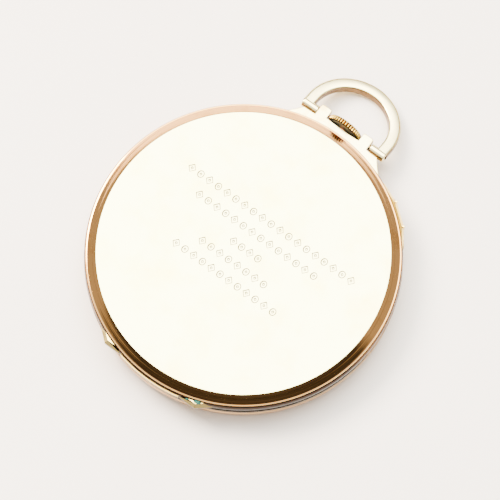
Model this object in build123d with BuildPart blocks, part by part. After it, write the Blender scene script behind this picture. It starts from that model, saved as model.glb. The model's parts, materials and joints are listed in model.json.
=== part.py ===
from build123d import *
from math import acos, asin, atan2, cos, degrees, hypot, pi, radians, sin, sqrt
import os

# An open face pocket watch that lies face down: +Z is up, out of the case's back, +Y runs through the
# pendant at 12 o'clock, and the origin is on the case's axis in the plane that the front bezel rests on.
# All sizes are in millimetres.
os.makedirs("parts", exist_ok=True)

# ---------------------------------------------------------------- clearances
FIT = 0.05  # between pieces that pass each other
RUN = 0.02  # radial, between a pivot and its hole
SNAP = 0.03  # radial, between a snapped cover and its seat

# ---------------------------------------------------------------- heights
CASE_HEIGHT = 6.6
BACK_WALL = 0.4
BACK_DEPTH = 1.0  # from the back's flat face down to its joint with the case middle
BEZEL_HEIGHT = 2.85  # the front bezel's share of the height, below the stem's hole
BEAD_Z = 3.9  # a fine turned bead runs round the band at this height
BEAD_HALF = 0.09
RIM_INSET = 0.1  # the bezel's rim stands this far back from the glass, which the watch rests on
CRYSTAL_THICK = 0.75
DIAL_GAP = 1.0  # room for the hands between the glass and the dial
DIAL_THICK = 0.3
PLATE_THICK = 1.2
STEM_RISE = 1.45  # from the plate's dial side to the stem's axis

DIAL_Z = CRYSTAL_THICK + DIAL_GAP
PLATE_Z = DIAL_Z + DIAL_THICK
PLATE_TOP = PLATE_Z + PLATE_THICK
STEM_Z = PLATE_Z + STEM_RISE
BACK_JOINT = CASE_HEIGHT - BACK_DEPTH
BACK_INSIDE = CASE_HEIGHT - BACK_WALL

# ---------------------------------------------------------------- case radii
PLATE_R = 19.4
RIM_WALL = 2.1  # the case middle's rim, which the bezel and the back snap over
RING_WALL = 1.35  # what the bezel and the band stand out past that rim
BACK_FLAT_MARGIN = 1.75  # the back's rounded edge, outside its flat face
LIP_R_INSET = 0.3  # the fine lip at the back's joint stands this far inside the band
LEDGE_WIDTH = 0.4  # the case screws' heads bear on this ledge
LEDGE_THICK = 0.55
GLASS_MARGIN = 0.75  # the glass reaches this far past the plate
REHAUT_OVERLAP = 0.3  # the ring inside the bezel covers this much of the dial's edge

BORE_R = PLATE_R + FIT
RIM_R = PLATE_R + RIM_WALL
CASE_R = RIM_R + RING_WALL + 0.1
BACK_FLAT_R = CASE_R - BACK_FLAT_MARGIN
LIP_R = CASE_R - LIP_R_INSET
GLASS_R = PLATE_R + GLASS_MARGIN
REHAUT_R = PLATE_R - REHAUT_OVERLAP
LEDGE_R = PLATE_R - LEDGE_WIDTH

# ---------------------------------------------------------------- pendant, bow and crown
SHOULDER_HALF = 6.6  # half the width of the pendant's base
SHOULDER_REACH = 0.55  # the base stands this far past the band
WING_ANGLE = 25.0  # where the base's wings run out into the band, from the pendant's axis
NECK_HALF = 4.65  # half the width across both ears
EAR_WIDTH = 1.8
NECK_REACH = 1.1  # the floor between the ears, past the band
EAR_REACH = 2.5
PENDANT_THICK = 2.2
CROWN_D = 5.6
CROWN_LENGTH = 0.8
CROWN_DOME = 0.25
CROWN_CHAMFER = 0.3
CROWN_BORE = 0.75
CROWN_FLUTES = 40
FLUTE_R = 0.15
CROWN_PULL = 0.7
COLLAR_R = 1.15
STEM_R = 0.55
KNUCKLE_D = 1.5
KNUCKLE_OUT = 7.35  # from the pendant's axis to a knuckle's outer end
KNUCKLE_GAP = 0.12  # between a knuckle and its ear
BOW_BAND = 1.65
BOW_THICK = 1.4
BOW_LEG = 1.6  # the bow's straight legs, before its half round
BOW_FLOOR_GAP = 0.06  # the hanging bow stops this far above the surface
PIN_R = 0.4
PIN_DEPTH = 1.3  # into the ear

NECK_Y = CASE_R + NECK_REACH
SHOULDER_Y = CASE_R + SHOULDER_REACH
EAR_Y = CASE_R + EAR_REACH
EAR_IN = NECK_HALF - EAR_WIDTH
PIVOT_Y = CASE_R + SHOULDER_REACH + KNUCKLE_D / 2 + 0.15
CROWN_Y = NECK_Y + 0.12
BOW_REACH = BOW_LEG + KNUCKLE_OUT
BOW_DROOP = degrees(asin((STEM_Z - BOW_THICK / 2 - BOW_FLOOR_GAP) / BOW_REACH))

# ---------------------------------------------------------------- ornament of the band
PANEL_HALF_ANGLE = 19.7  # from 6 o'clock to a corner of the lower panel
PANEL_END_ANGLE = 26.0
PANEL_CHORD = 0.6  # the panel's straight edge is this far inside the band's circle
REED_COUNT = 35
REED_R = 0.11
SIDE_ANGLE = 38.2  # the side lip's middle, clockwise from the pendant seen from the back
SIDE_HALF_ANGLE = 4.75
SIDE_END_ANGLE = 13.3
SIDE_REACH = 0.5
BEAD_R = 0.16

# ---------------------------------------------------------------- teeth
ADDENDUM = 0.85  # in modules
DEDENDUM = 1.15
TOOTH_SHARE = 0.40  # a tooth's share of the pitch at the pitch circle
TIP_SHARE = 0.20
ROOT_FLARE = 1.2  # a tooth is this much wider at its root

# ---------------------------------------------------------------- going train
BARREL_TEETH = 80
CENTER_LEAVES = 10
BARREL_MODULE = 0.205
CENTER_TEETH = 80
THIRD_LEAVES = 10
CENTER_MODULE = 0.15
THIRD_TEETH = 75
FOURTH_LEAVES = 10
THIRD_MODULE = 0.13
FOURTH_TEETH = 80
ESCAPE_LEAVES = 8
FOURTH_MODULE = 0.105
ESCAPE_TEETH = 15
ESCAPE_R = 2.3
FOURTH_DROP = 9.0  # from the centre down to the seconds' axis
BARREL_ANGLE = 25.0
WHEEL_THICK = 0.15

# the motion works and the keyless works
CANNON_TEETH = 12
MINUTE_TEETH = 36
MINUTE_LEAVES = 10
HOUR_TEETH = 40
MOTION_MODULE = 0.16
SETTING_TEETH = 20
SETTING_Y = 8.0
CROWN_TEETH = 30
RATCHET_TEETH = 60
WINDING_MODULE = 0.24
WINDING_LEAVES = 12
CONTRATE_IN = 3.0  # the crown wheel's downward teeth, from its centre
CONTRATE_OUT = 3.4
CLUTCH_R = 0.85
CLUTCH_SHIFT = 0.6

# the escapement
PALLET_GAP = 0.15  # from the escape wheel's tips to the stones
ESCAPE_TO_PALLET = 2.6
PALLET_TO_BALANCE = 3.5
BALANCE_X = -9.2
BALANCE_Y = -5.0
BALANCE_R = 5.0
BALANCE_RIM = 0.45
BALANCE_THICK = 0.45
SCREW_OUT = 0.18  # the balance screws' heads stand out this far

# pivots and jewels
PIVOT_R = 0.1
ARBOR_R = 0.28
SECONDS_R = 0.15
JEWEL_R = 0.5
JEWEL_THICK = 0.3


def distance(teeth, leaves, module):
    """The distance between the axes of two gears in mesh."""
    return (teeth + leaves) * module / 2


def polar(radius, angle):
    """The point at this radius and angle from +X."""
    return radius * cos(radians(angle)), radius * sin(radians(angle))


def bearing(start, end):
    """The angle from +X of the line from start to end."""
    return degrees(atan2(end[1] - start[1], end[0] - start[0]))


def third_corner(a, b, from_a, from_b, side):
    """The point at these two distances from a and b, on the left of the line a to b for side 1."""
    span = hypot(b[0] - a[0], b[1] - a[1])
    turn = degrees(acos((from_a**2 + span**2 - from_b**2) / (2 * from_a * span)))
    dx, dy = polar(from_a, bearing(a, b) + side * turn)
    return a[0] + dx, a[1] + dy


# ---------------------------------------------------------------- axes in plan
CENTER = (0.0, 0.0)
BARREL = polar(distance(BARREL_TEETH, CENTER_LEAVES, BARREL_MODULE), BARREL_ANGLE)
FOURTH = (0.0, -FOURTH_DROP)
BALANCE = (BALANCE_X, BALANCE_Y)
THIRD = third_corner(
    CENTER,
    FOURTH,
    distance(CENTER_TEETH, THIRD_LEAVES, CENTER_MODULE),
    distance(THIRD_TEETH, FOURTH_LEAVES, THIRD_MODULE),
    1,
)
ESCAPE = third_corner(
    FOURTH,
    BALANCE,
    distance(FOURTH_TEETH, ESCAPE_LEAVES, FOURTH_MODULE),
    ESCAPE_TO_PALLET + PALLET_TO_BALANCE,
    1,
)
PALLET_LINE = bearing(ESCAPE, BALANCE)
PALLET = tuple(e + d for e, d in zip(ESCAPE, polar(ESCAPE_TO_PALLET, PALLET_LINE)))
SETTING = (0.0, SETTING_Y)
MINUTE = third_corner(
    CENTER,
    SETTING,
    distance(CANNON_TEETH, MINUTE_TEETH, MOTION_MODULE),
    distance(SETTING_TEETH, MINUTE_TEETH, MOTION_MODULE),
    1,
)
HOUR_MODULE = 2 * hypot(*MINUTE) / (HOUR_TEETH + MINUTE_LEAVES)
WINDING_SPAN = distance(CROWN_TEETH, RATCHET_TEETH, WINDING_MODULE)
CROWN_WHEEL = (0.0, BARREL[1] + sqrt(WINDING_SPAN**2 - BARREL[0] ** 2))

# ---------------------------------------------------------------- heights in the movement
MOTION_TOP = PLATE_Z + 0.5  # the roof of the dial side's recess
LEAF_Z = PLATE_Z + 0.28  # the level of the minute wheel
HOUR_Z = PLATE_Z + 0.07  # the level of the hour wheel
BARREL_FLOOR = PLATE_Z + 0.75
BARREL_Z = BARREL_FLOOR + FIT
BARREL_HIGH = 1.1
BARREL_TOP = BARREL_Z + BARREL_HIGH
CENTER_Z = BARREL_TOP + 0.1
THIRD_Z = CENTER_Z + 0.3
FOURTH_Z = PLATE_TOP + 0.11
ESCAPE_Z = PLATE_TOP + 0.47
PALLET_COCK_Z = ESCAPE_Z + 0.28
PALLET_COCK_THICK = 0.25
BALANCE_Z = THIRD_Z
BARREL_BRIDGE_Z = CENTER_Z + 0.25
BRIDGE_THICK = 0.4
BARREL_BRIDGE_TOP = BARREL_BRIDGE_Z + BRIDGE_THICK
TRAIN_BRIDGE_Z = THIRD_Z + 0.35
TRAIN_BRIDGE_THICK = 0.6
TRAIN_BRIDGE_TOP = TRAIN_BRIDGE_Z + TRAIN_BRIDGE_THICK
HAIRSPRING_Z = BALANCE_Z + BALANCE_THICK + 0.12
HAIRSPRING_HIGH = 0.15
COCK_Z = HAIRSPRING_Z + HAIRSPRING_HIGH + 0.13
COCK_THICK = 0.5
COCK_TOP = COCK_Z + COCK_THICK
WINDING_Z = BARREL_BRIDGE_TOP + 0.2  # the level of the crown and ratchet wheels
WINDING_THICK = 0.25
CONTRATE_DEEP = 0.15
BALANCE_SWEEP = BALANCE_R + SCREW_OUT
ROLLER_Z = PALLET_COCK_Z + 0.02


# ---------------------------------------------------------------- helpers
def gear_points(teeth, module, phase):
    """The corners of a gear's outline, with a tooth's middle at the angle phase."""
    pitch_r = teeth * module / 2
    root_r = pitch_r - DEDENDUM * module
    tip_r = pitch_r + ADDENDUM * module
    pitch = 360 / teeth
    corners = []
    for tooth in range(teeth):
        middle = phase + tooth * pitch
        flank = TOOTH_SHARE * ROOT_FLARE
        for radius, share in ((root_r, -flank), (tip_r, -TIP_SHARE), (tip_r, TIP_SHARE), (root_r, flank)):
            corners.append(polar(radius, middle + share * pitch / 2))
    return corners


def meshed_phase(driver_phase, driver_teeth, direction, teeth):
    """The tooth angle of a gear that meshes with a driver, which lies opposite to direction from it."""
    driver_pitch = 360 / driver_teeth
    share = ((direction - driver_phase) % driver_pitch) / driver_pitch
    return direction + 180 + (share - 0.5) * 360 / teeth


def gear(teeth, module, phase=0.0):
    """Draws a gear in the open sketch."""
    Polygon(*gear_points(teeth, module, phase), align=None)


def arms(rim_r, hub_r, count, width, turn=0.0):
    """Opens a wheel between its rim and its hub in the open sketch, and leaves its arms."""
    Circle(rim_r, mode=Mode.SUBTRACT)
    Circle(hub_r)
    with PolarLocations(rim_r / 2 + FIT, count, start_angle=turn):
        Rectangle(rim_r + FIT, width)


def level(point, z):
    """The horizontal plane through this plan point at height z."""
    return Plane(origin=(point[0], point[1], z))


def spiral_points(start_r, end_r, turns, thick, start_angle=0.0, steps=28):
    """The outline of a flat coiled strip, out along one side and back along the other."""
    count = int(turns * steps)
    outer, inner = [], []
    for i in range(count + 1):
        angle = start_angle + 360 * turns * i / count
        radius = start_r + (end_r - start_r) * i / count
        outer.append(polar(radius + thick / 2, angle))
        inner.append(polar(radius - thick / 2, angle))
    return outer + inner[::-1]


def stepped(point, steps):
    """Adds a turned piece: discs of (radius, low, high) on one axis, in the open part."""
    for radius, low, high in steps:
        with BuildSketch(level(point, low)) as face:
            Circle(radius)
        extrude(face.sketch, amount=high - low)


def save(piece, name):
    """Labels a finished piece and writes it."""
    piece.part.label = name
    export_step(piece.part, f"parts/{name}.step")


# ================================================================ the case
BAND_MID = (BACK_JOINT + BEAD_Z) / 2
BAND_LOW = BEAD_Z + BEAD_HALF
RIM_LOW = DIAL_Z
RIM_HIGH = BACK_JOINT + 0.4

chord_y = -(CASE_R - PANEL_CHORD)
corner_x = -chord_y * sin(radians(PANEL_HALF_ANGLE)) / cos(radians(PANEL_HALF_ANGLE))
end_x, end_y = polar(CASE_R - FIT, -90 + PANEL_END_ANGLE)

with BuildPart() as case_middle:
    # the ring: a band that shows, with a rim above and below it for the back and the bezel
    with BuildSketch(Plane.XZ):
        with BuildLine():
            Polyline(
                (BORE_R, RIM_LOW),
                (RIM_R, RIM_LOW),
                (RIM_R, BEZEL_HEIGHT + FIT),
                (CASE_R - 0.06, BEZEL_HEIGHT + FIT),
                (CASE_R - 0.04, BEAD_Z - BEAD_HALF),
                (CASE_R + 0.03, BEAD_Z - BEAD_HALF / 2),
                (CASE_R + 0.03, BEAD_Z + BEAD_HALF / 2),
                (CASE_R - 0.04, BEAD_Z + BEAD_HALF),
            )
            ThreePointArc(
                (CASE_R - 0.04, BEAD_Z + BEAD_HALF),
                (CASE_R, BAND_MID),
                (CASE_R - 0.1, BACK_JOINT - FIT),
            )
            Polyline(
                (CASE_R - 0.1, BACK_JOINT - FIT),
                (RIM_R - 0.3, BACK_JOINT - FIT),
                (RIM_R - 0.3, RIM_HIGH),
                (BORE_R, RIM_HIGH),
                (BORE_R, PLATE_TOP + LEDGE_THICK),
                (LEDGE_R, PLATE_TOP + LEDGE_THICK),
                (LEDGE_R, PLATE_TOP),
                (BORE_R, PLATE_TOP),
                (BORE_R, RIM_LOW),
            )
        make_face()
    revolve(axis=Axis.Z)
    # the lower panel's two fins, whose corners stand proud of the band
    with BuildSketch(Plane.XY.offset(BAND_LOW)) as fins:
        for side in (-1, 1):
            Polygon(
                (side * 2.0, chord_y + 1.5),
                (side * 2.0, chord_y),
                (side * corner_x, chord_y),
                (side * end_x, end_y),
                (side * (end_x - 1.2), end_y + 0.6),
                align=None,
            )
        Circle(RIM_R, mode=Mode.SUBTRACT)
    extrude(amount=BACK_JOINT - BAND_LOW - 0.15)
    # the side lip, a low flat with a bead at each of its corners
    with BuildSketch(Plane.XY.offset(BAND_LOW)) as side_lip:
        middle = 90 - SIDE_ANGLE
        Polygon(
            polar(CASE_R - FIT, middle - SIDE_END_ANGLE),
            polar(CASE_R + SIDE_REACH, middle - SIDE_HALF_ANGLE),
            polar(CASE_R + SIDE_REACH, middle + SIDE_HALF_ANGLE),
            polar(CASE_R - FIT, middle + SIDE_END_ANGLE),
            polar(RIM_R, middle + SIDE_END_ANGLE / 2),
            polar(RIM_R, middle - SIDE_END_ANGLE / 2),
            align=None,
        )
        for side in (-1, 1):
            with Locations(polar(CASE_R + SIDE_REACH - 0.02, middle + side * SIDE_HALF_ANGLE)):
                Circle(BEAD_R)
        Circle(RIM_R, mode=Mode.SUBTRACT)
    extrude(amount=BACK_JOINT - BAND_LOW - 0.15)
    # the pendant: a base whose wings run into the band, and two ears
    with BuildSketch(Plane.XY.offset(STEM_Z - PENDANT_THICK / 2)) as pendant_plan:
        wing_x, wing_y = polar(CASE_R - FIT, 90 - WING_ANGLE)
        with BuildLine():
            Polyline(
                (0, CASE_R - 0.6),
                (wing_x - 0.8, wing_y - 0.3),
                (wing_x, wing_y),
            )
            ThreePointArc(
                (wing_x, wing_y),
                ((wing_x + SHOULDER_HALF) / 2 - 0.15, (wing_y + SHOULDER_Y) / 2 - 0.22),
                (SHOULDER_HALF, SHOULDER_Y),
            )
            Polyline(
                (SHOULDER_HALF, SHOULDER_Y),
                (NECK_HALF, SHOULDER_Y + 0.1),
                (NECK_HALF, EAR_Y),
                (EAR_IN, EAR_Y),
                (EAR_IN, NECK_Y),
                (0, NECK_Y),
                (0, CASE_R - 0.6),
            )
        make_face()
        mirror(about=Plane.YZ)
        ear_tips = pendant_plan.vertices().group_by(Axis.Y)[-1]
        fillet(ear_tips, radius=0.25)
    extrude(amount=PENDANT_THICK)
    with BuildSketch(Plane.XY.offset(STEM_Z - PENDANT_THICK / 2)):
        Circle(CASE_R + FIT)
    extrude(amount=BEZEL_HEIGHT + FIT - STEM_Z + PENDANT_THICK / 2, mode=Mode.SUBTRACT)
    # the rim under the pendant comes back after that cut
    with BuildSketch(Plane.XY.offset(RIM_LOW)):
        Circle(RIM_R)
        Circle(BORE_R, mode=Mode.SUBTRACT)
    extrude(amount=BEZEL_HEIGHT + FIT - RIM_LOW)
    with BuildSketch(Plane.XY.offset(PLATE_TOP)):
        Circle(BORE_R + FIT)
        Circle(LEDGE_R, mode=Mode.SUBTRACT)
    extrude(amount=LEDGE_THICK)
    # the collar round the stem, and the stem's hole
    with BuildSketch(Plane.XZ.offset(-NECK_Y + 0.1)):
        with Locations((0, STEM_Z)):
            Circle(COLLAR_R)
    extrude(amount=-0.15)
    with BuildSketch(Plane.XZ.offset(-LEDGE_R + 1.0)):
        with Locations((0, STEM_Z)):
            Circle(STEM_R + RUN)
    extrude(amount=-(NECK_Y - LEDGE_R + 2.0), mode=Mode.SUBTRACT)
    # the holes for the bow's pins
    for side in (-1, 1):
        with BuildSketch(Plane.YZ.offset(side * (NECK_HALF - PIN_DEPTH))):
            with Locations((PIVOT_Y, STEM_Z)):
                Circle(PIN_R)
        extrude(amount=side * (PIN_DEPTH + 1), mode=Mode.SUBTRACT)
    # fine upright reeds across the lower panel
    panel_half = degrees(acos(-chord_y / CASE_R)) - 1.0
    with BuildSketch(Plane.XY.offset(BAND_LOW)):
        with PolarLocations(CASE_R + 0.03, REED_COUNT, -90 - panel_half, 2 * panel_half):
            Circle(REED_R)
    extrude(amount=BACK_JOINT - BAND_LOW - 0.15, mode=Mode.SUBTRACT)
save(case_middle, "case_middle")

with BuildPart() as case_back:
    with BuildSketch(Plane.XZ):
        with BuildLine():
            Polyline((0, BACK_INSIDE), (0, CASE_HEIGHT), (BACK_FLAT_R, CASE_HEIGHT))
            ThreePointArc(
                (BACK_FLAT_R, CASE_HEIGHT),
                (BACK_FLAT_R + 0.85, CASE_HEIGHT - 0.27),
                (LIP_R - 0.12, BACK_JOINT + 0.24),
            )
            Polyline(
                (LIP_R - 0.12, BACK_JOINT + 0.24),
                (LIP_R, BACK_JOINT + 0.22),
                (LIP_R, BACK_JOINT),
                (RIM_R - 0.3 + SNAP, BACK_JOINT),
                (RIM_R - 0.3 + SNAP, RIM_HIGH + FIT),
                (RIM_R - 1.0, BACK_INSIDE),
                (0, BACK_INSIDE),
            )
        make_face()
    revolve(axis=Axis.Z)
save(case_back, "case_back")

with BuildPart() as front_bezel:
    with BuildSketch(Plane.XZ):
        with BuildLine():
            Polyline(
                (REHAUT_R, DIAL_Z - FIT),
                (REHAUT_R, CRYSTAL_THICK),
                (GLASS_R + RUN, CRYSTAL_THICK),
                (GLASS_R + RUN, RIM_INSET + 0.1),
                (GLASS_R + 0.12, RIM_INSET),
                (RIM_R - 0.3, RIM_INSET),
            )
            Spline(
                (RIM_R - 0.3, RIM_INSET),
                (CASE_R - 0.5, 0.75),
                (CASE_R - 0.08, 1.9),
                (CASE_R - 0.1, BEZEL_HEIGHT - 0.2),
                tangents=[(1, 0.15), (-0.05, 1)],
            )
            Polyline(
                (CASE_R - 0.1, BEZEL_HEIGHT - 0.2),
                (CASE_R - 0.02, BEZEL_HEIGHT - 0.15),
                (CASE_R - 0.02, BEZEL_HEIGHT),
                (RIM_R + SNAP, BEZEL_HEIGHT),
                (RIM_R + SNAP, DIAL_Z - FIT),
                (REHAUT_R, DIAL_Z - FIT),
            )
        make_face()
    revolve(axis=Axis.Z)
save(front_bezel, "front_bezel")

with BuildPart() as crystal:
    with BuildSketch():
        Circle(GLASS_R)
    extrude(amount=CRYSTAL_THICK)
    chamfer(crystal.edges().group_by(Axis.Z)[0], length=0.15)
save(crystal, "crystal")

# ================================================================ bow, pins and crown
BOW_TILT = radians(BOW_DROOP)
bow_plane = Plane(
    origin=(0, PIVOT_Y, STEM_Z),
    x_dir=(1, 0, 0),
    z_dir=(0, sin(BOW_TILT), cos(BOW_TILT)),
)
with BuildPart() as bow:
    with BuildSketch(bow_plane.offset(-BOW_THICK / 2)):
        inner_half = KNUCKLE_OUT - BOW_BAND
        with BuildLine():
            Line((KNUCKLE_OUT, 0), (KNUCKLE_OUT, BOW_LEG))
            ThreePointArc((KNUCKLE_OUT, BOW_LEG), (0, BOW_REACH), (-KNUCKLE_OUT, BOW_LEG))
            Line((-KNUCKLE_OUT, BOW_LEG), (-KNUCKLE_OUT, 0))
            Line((-KNUCKLE_OUT, 0), (-inner_half, 0))
            Line((-inner_half, 0), (-inner_half, BOW_LEG))
            ThreePointArc((-inner_half, BOW_LEG), (0, BOW_REACH - BOW_BAND), (inner_half, BOW_LEG))
            Line((inner_half, BOW_LEG), (inner_half, 0))
            Line((inner_half, 0), (KNUCKLE_OUT, 0))
        make_face()
    extrude(amount=BOW_THICK)
    fillet(bow.faces().filter_by(bow_plane).edges(), radius=0.2)
    for side in (-1, 1):
        with BuildSketch(Plane.YZ.offset(side * (NECK_HALF + KNUCKLE_GAP))):
            with Locations((PIVOT_Y, STEM_Z)):
                Circle(KNUCKLE_D / 2)
        extrude(amount=side * (KNUCKLE_OUT - NECK_HALF - KNUCKLE_GAP))
        with BuildSketch(Plane.YZ.offset(side * (NECK_HALF + KNUCKLE_GAP))):
            with Locations((PIVOT_Y, STEM_Z)):
                Circle(PIN_R + RUN)
        extrude(amount=side * (KNUCKLE_OUT - NECK_HALF - KNUCKLE_GAP - 0.4), mode=Mode.SUBTRACT)
save(bow, "bow")

with BuildPart() as bow_pins:
    for side in (-1, 1):
        with BuildSketch(Plane.YZ.offset(side * (NECK_HALF - PIN_DEPTH))):
            with Locations((PIVOT_Y, STEM_Z)):
                Circle(PIN_R)
        extrude(amount=side * (KNUCKLE_OUT - 0.5 - NECK_HALF + PIN_DEPTH))
save(bow_pins, "bow_pins")

crown_edge = CROWN_D / 2 - CROWN_CHAMFER
dome_r = (crown_edge**2 + CROWN_DOME**2) / (2 * CROWN_DOME)
with BuildPart() as crown:
    # a barrel-shaped button with a low dome, turned round the stem's axis
    with BuildSketch(Plane(origin=(0, CROWN_Y, STEM_Z), x_dir=(1, 0, 0), z_dir=(0, 0, 1))):
        with BuildLine():
            Polyline(
                (0, CROWN_LENGTH + CROWN_DOME),
                (0, 0),
                (crown_edge, 0),
                (CROWN_D / 2, CROWN_CHAMFER * 0.7),
                (CROWN_D / 2, CROWN_LENGTH - CROWN_CHAMFER * 0.7),
                (crown_edge, CROWN_LENGTH),
            )
            ThreePointArc(
                (crown_edge, CROWN_LENGTH),
                (crown_edge / 2, CROWN_LENGTH + CROWN_DOME - dome_r + sqrt(dome_r**2 - crown_edge**2 / 4)),
                (0, CROWN_LENGTH + CROWN_DOME),
            )
        make_face()
    revolve(axis=Axis((0, 0, STEM_Z), (0, 1, 0)))
    # knurled flutes
    with BuildSketch(Plane.XZ.offset(-CROWN_Y + 1)):
        with Locations((0, STEM_Z)):
            with PolarLocations(CROWN_D / 2 + 0.03, CROWN_FLUTES):
                Circle(FLUTE_R)
    extrude(amount=-(CROWN_LENGTH + 2), mode=Mode.SUBTRACT)
    # the bore that the stem screws into
    with BuildSketch(Plane.XZ.offset(-CROWN_Y)):
        with Locations((0, STEM_Z)):
            Circle(STEM_R)
    extrude(amount=-CROWN_BORE, mode=Mode.SUBTRACT)
save(crown, "crown")

# ================================================================ keyless works
PINION_TIP = STEM_R + 0.85
PINION_IN = CROWN_WHEEL[1] + CONTRATE_IN - FIT
PINION_OUT = CROWN_WHEEL[1] + CONTRATE_OUT + FIT
HUB_Y = PINION_IN - 0.35
CLUTCH_OUT = HUB_Y - FIT
CLUTCH_IN = SETTING_Y + SETTING_TEETH * MOTION_MODULE / 2 + ADDENDUM * MOTION_MODULE + FIT + CLUTCH_SHIFT
GROOVE_Y = (CLUTCH_IN + CLUTCH_OUT) / 2 + 0.3
GROOVE_HALF = 0.22
SQUARE = 0.62
LEVER_Y = PINION_OUT + 1.25
STEM_TIP = CLUTCH_IN - CROWN_PULL - 0.15

with BuildPart() as winding_stem:
    # the round shank, with the setting lever's groove, and the square that carries the clutch
    for low, high, radius in (
        (PINION_OUT + 0.15, LEVER_Y - 0.28, STEM_R),
        (LEVER_Y - 0.28, LEVER_Y + 0.28, STEM_R - 0.2),
        (LEVER_Y + 0.28, CROWN_Y + CROWN_BORE, STEM_R),
        (HUB_Y, PINION_OUT + 0.15, SQUARE / 2 * sqrt(2)),
        (STEM_TIP, STEM_TIP + 0.3, 0.24),
    ):
        with BuildSketch(Plane.XZ.offset(-low)):
            with Locations((0, STEM_Z)):
                Circle(radius)
        extrude(amount=-(high - low))
    with BuildSketch(Plane.XZ.offset(-STEM_TIP - 0.3)):
        with Locations((0, STEM_Z)):
            Rectangle(SQUARE, SQUARE)
    extrude(amount=-(HUB_Y - STEM_TIP - 0.3))
save(winding_stem, "winding_stem")


def castle(radius, inner, count, low, high, lead):
    """Adds a ring of end teeth round the stem's axis, between two heights along it, in the open part."""
    with BuildSketch(Plane.XZ.offset(-low)) as face:
        with Locations((0, STEM_Z)):
            Circle(radius)
            Circle(inner, mode=Mode.SUBTRACT)
            with PolarLocations((radius + inner) / 2, count, start_angle=lead):
                Rectangle(radius, (radius + inner) * pi / count / 2 * 1.15, mode=Mode.SUBTRACT)
    extrude(face.sketch, amount=-(high - low))


with BuildPart() as winding_pinion:
    with BuildSketch(Plane.XZ.offset(-PINION_IN)):
        with Locations((0, STEM_Z)):
            Circle(PINION_TIP - 0.42)
            with PolarLocations(0, WINDING_LEAVES, start_angle=90 + 180 / WINDING_LEAVES):
                Polygon(
                    (PINION_TIP - 0.5, -0.17),
                    (PINION_TIP, -0.1),
                    (PINION_TIP, 0.1),
                    (PINION_TIP - 0.5, 0.17),
                    align=None,
                )
    extrude(amount=-(PINION_OUT - PINION_IN))
    with BuildSketch(Plane.XZ.offset(-HUB_Y)):
        with Locations((0, STEM_Z)):
            Circle(CLUTCH_R)
    extrude(amount=-(PINION_IN - HUB_Y))
    castle(CLUTCH_R, STEM_R, 8, HUB_Y - 0.12, HUB_Y, 0.0)
    with BuildSketch(Plane.XZ.offset(-HUB_Y + 0.5)):
        with Locations((0, STEM_Z)):
            Circle(SQUARE / 2 * sqrt(2) + RUN)
    extrude(amount=-(PINION_OUT - HUB_Y + 1), mode=Mode.SUBTRACT)
save(winding_pinion, "winding_pinion")

with BuildPart() as clutch:
    with BuildSketch(Plane.XZ.offset(-CLUTCH_IN - 0.2)):
        with Locations((0, STEM_Z)):
            Circle(CLUTCH_R)
    extrude(amount=-(CLUTCH_OUT - 0.12 - CLUTCH_IN - 0.2))
    castle(CLUTCH_R, STEM_R, 8, CLUTCH_OUT - 0.12, CLUTCH_OUT + 0.02, 180 / 8)
    castle(CLUTCH_R, STEM_R - 0.05, 10, CLUTCH_IN, CLUTCH_IN + 0.2, 0.0)
    with BuildSketch(Plane.XZ.offset(-GROOVE_Y + GROOVE_HALF)):
        with Locations((0, STEM_Z)):
            Circle(CLUTCH_R + 1)
            Circle(CLUTCH_R - 0.3, mode=Mode.SUBTRACT)
    extrude(amount=-2 * GROOVE_HALF, mode=Mode.SUBTRACT)
    with BuildSketch(Plane.XZ.offset(-CLUTCH_IN + 0.5)):
        with Locations((0, STEM_Z)):
            Rectangle(SQUARE + 2 * RUN, SQUARE + 2 * RUN)
    extrude(amount=-(CLUTCH_OUT - CLUTCH_IN + 1), mode=Mode.SUBTRACT)
save(clutch, "clutch")

LEVER_ARM = 2.6
LEVER_PIVOT = (-LEVER_ARM, LEVER_Y + CROWN_PULL / 2)
LEVER_Z = PLATE_Z + 0.12
LEVER_THICK = 0.25
with BuildPart() as setting_lever:
    with BuildSketch(Plane.XY.offset(LEVER_Z)):
        for centre, radius in ((LEVER_PIVOT, 0.75), ((0, LEVER_Y), 0.35)):
            with Locations(centre):
                Circle(radius)
        make_hull()
    extrude(amount=LEVER_THICK)
    with BuildSketch(Plane.XY.offset(LEVER_Z)):
        for centre, radius in ((LEVER_PIVOT, 0.6), ((LEVER_PIVOT[0] - 0.9, LEVER_PIVOT[1] - 2.4), 0.3)):
            with Locations(centre):
                Circle(radius)
        make_hull()
    extrude(amount=LEVER_THICK)
    stepped((0, LEVER_Y), ((0.2, LEVER_Z, STEM_Z - STEM_R + 0.14),))
    with BuildSketch(level(LEVER_PIVOT, LEVER_Z)):
        Circle(0.35 + RUN)
    extrude(amount=LEVER_THICK, mode=Mode.SUBTRACT)
save(setting_lever, "setting_lever")

YOKE_ARM = 4.2
YOKE_PIVOT = (-YOKE_ARM, GROOVE_Y - CLUTCH_SHIFT / 2)
YOKE_Z = STEM_Z - CLUTCH_R + 0.06
YOKE_THICK = 0.18
with BuildPart() as yoke:
    with BuildSketch(Plane.XY.offset(YOKE_Z)):
        for centre, radius in ((YOKE_PIVOT, 0.8), ((0.1, GROOVE_Y), 0.14)):
            with Locations(centre):
                Circle(radius)
        make_hull()
        with Locations((0, GROOVE_Y)):
            Rectangle(2.6, 2.0, mode=Mode.SUBTRACT)
        with Locations((-0.6, GROOVE_Y)):
            Rectangle(1.9, 0.26)
    extrude(amount=YOKE_THICK)
    with BuildSketch(level(YOKE_PIVOT, YOKE_Z)):
        Circle(0.4 + RUN)
    extrude(amount=YOKE_THICK, mode=Mode.SUBTRACT)
save(yoke, "yoke")

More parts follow.
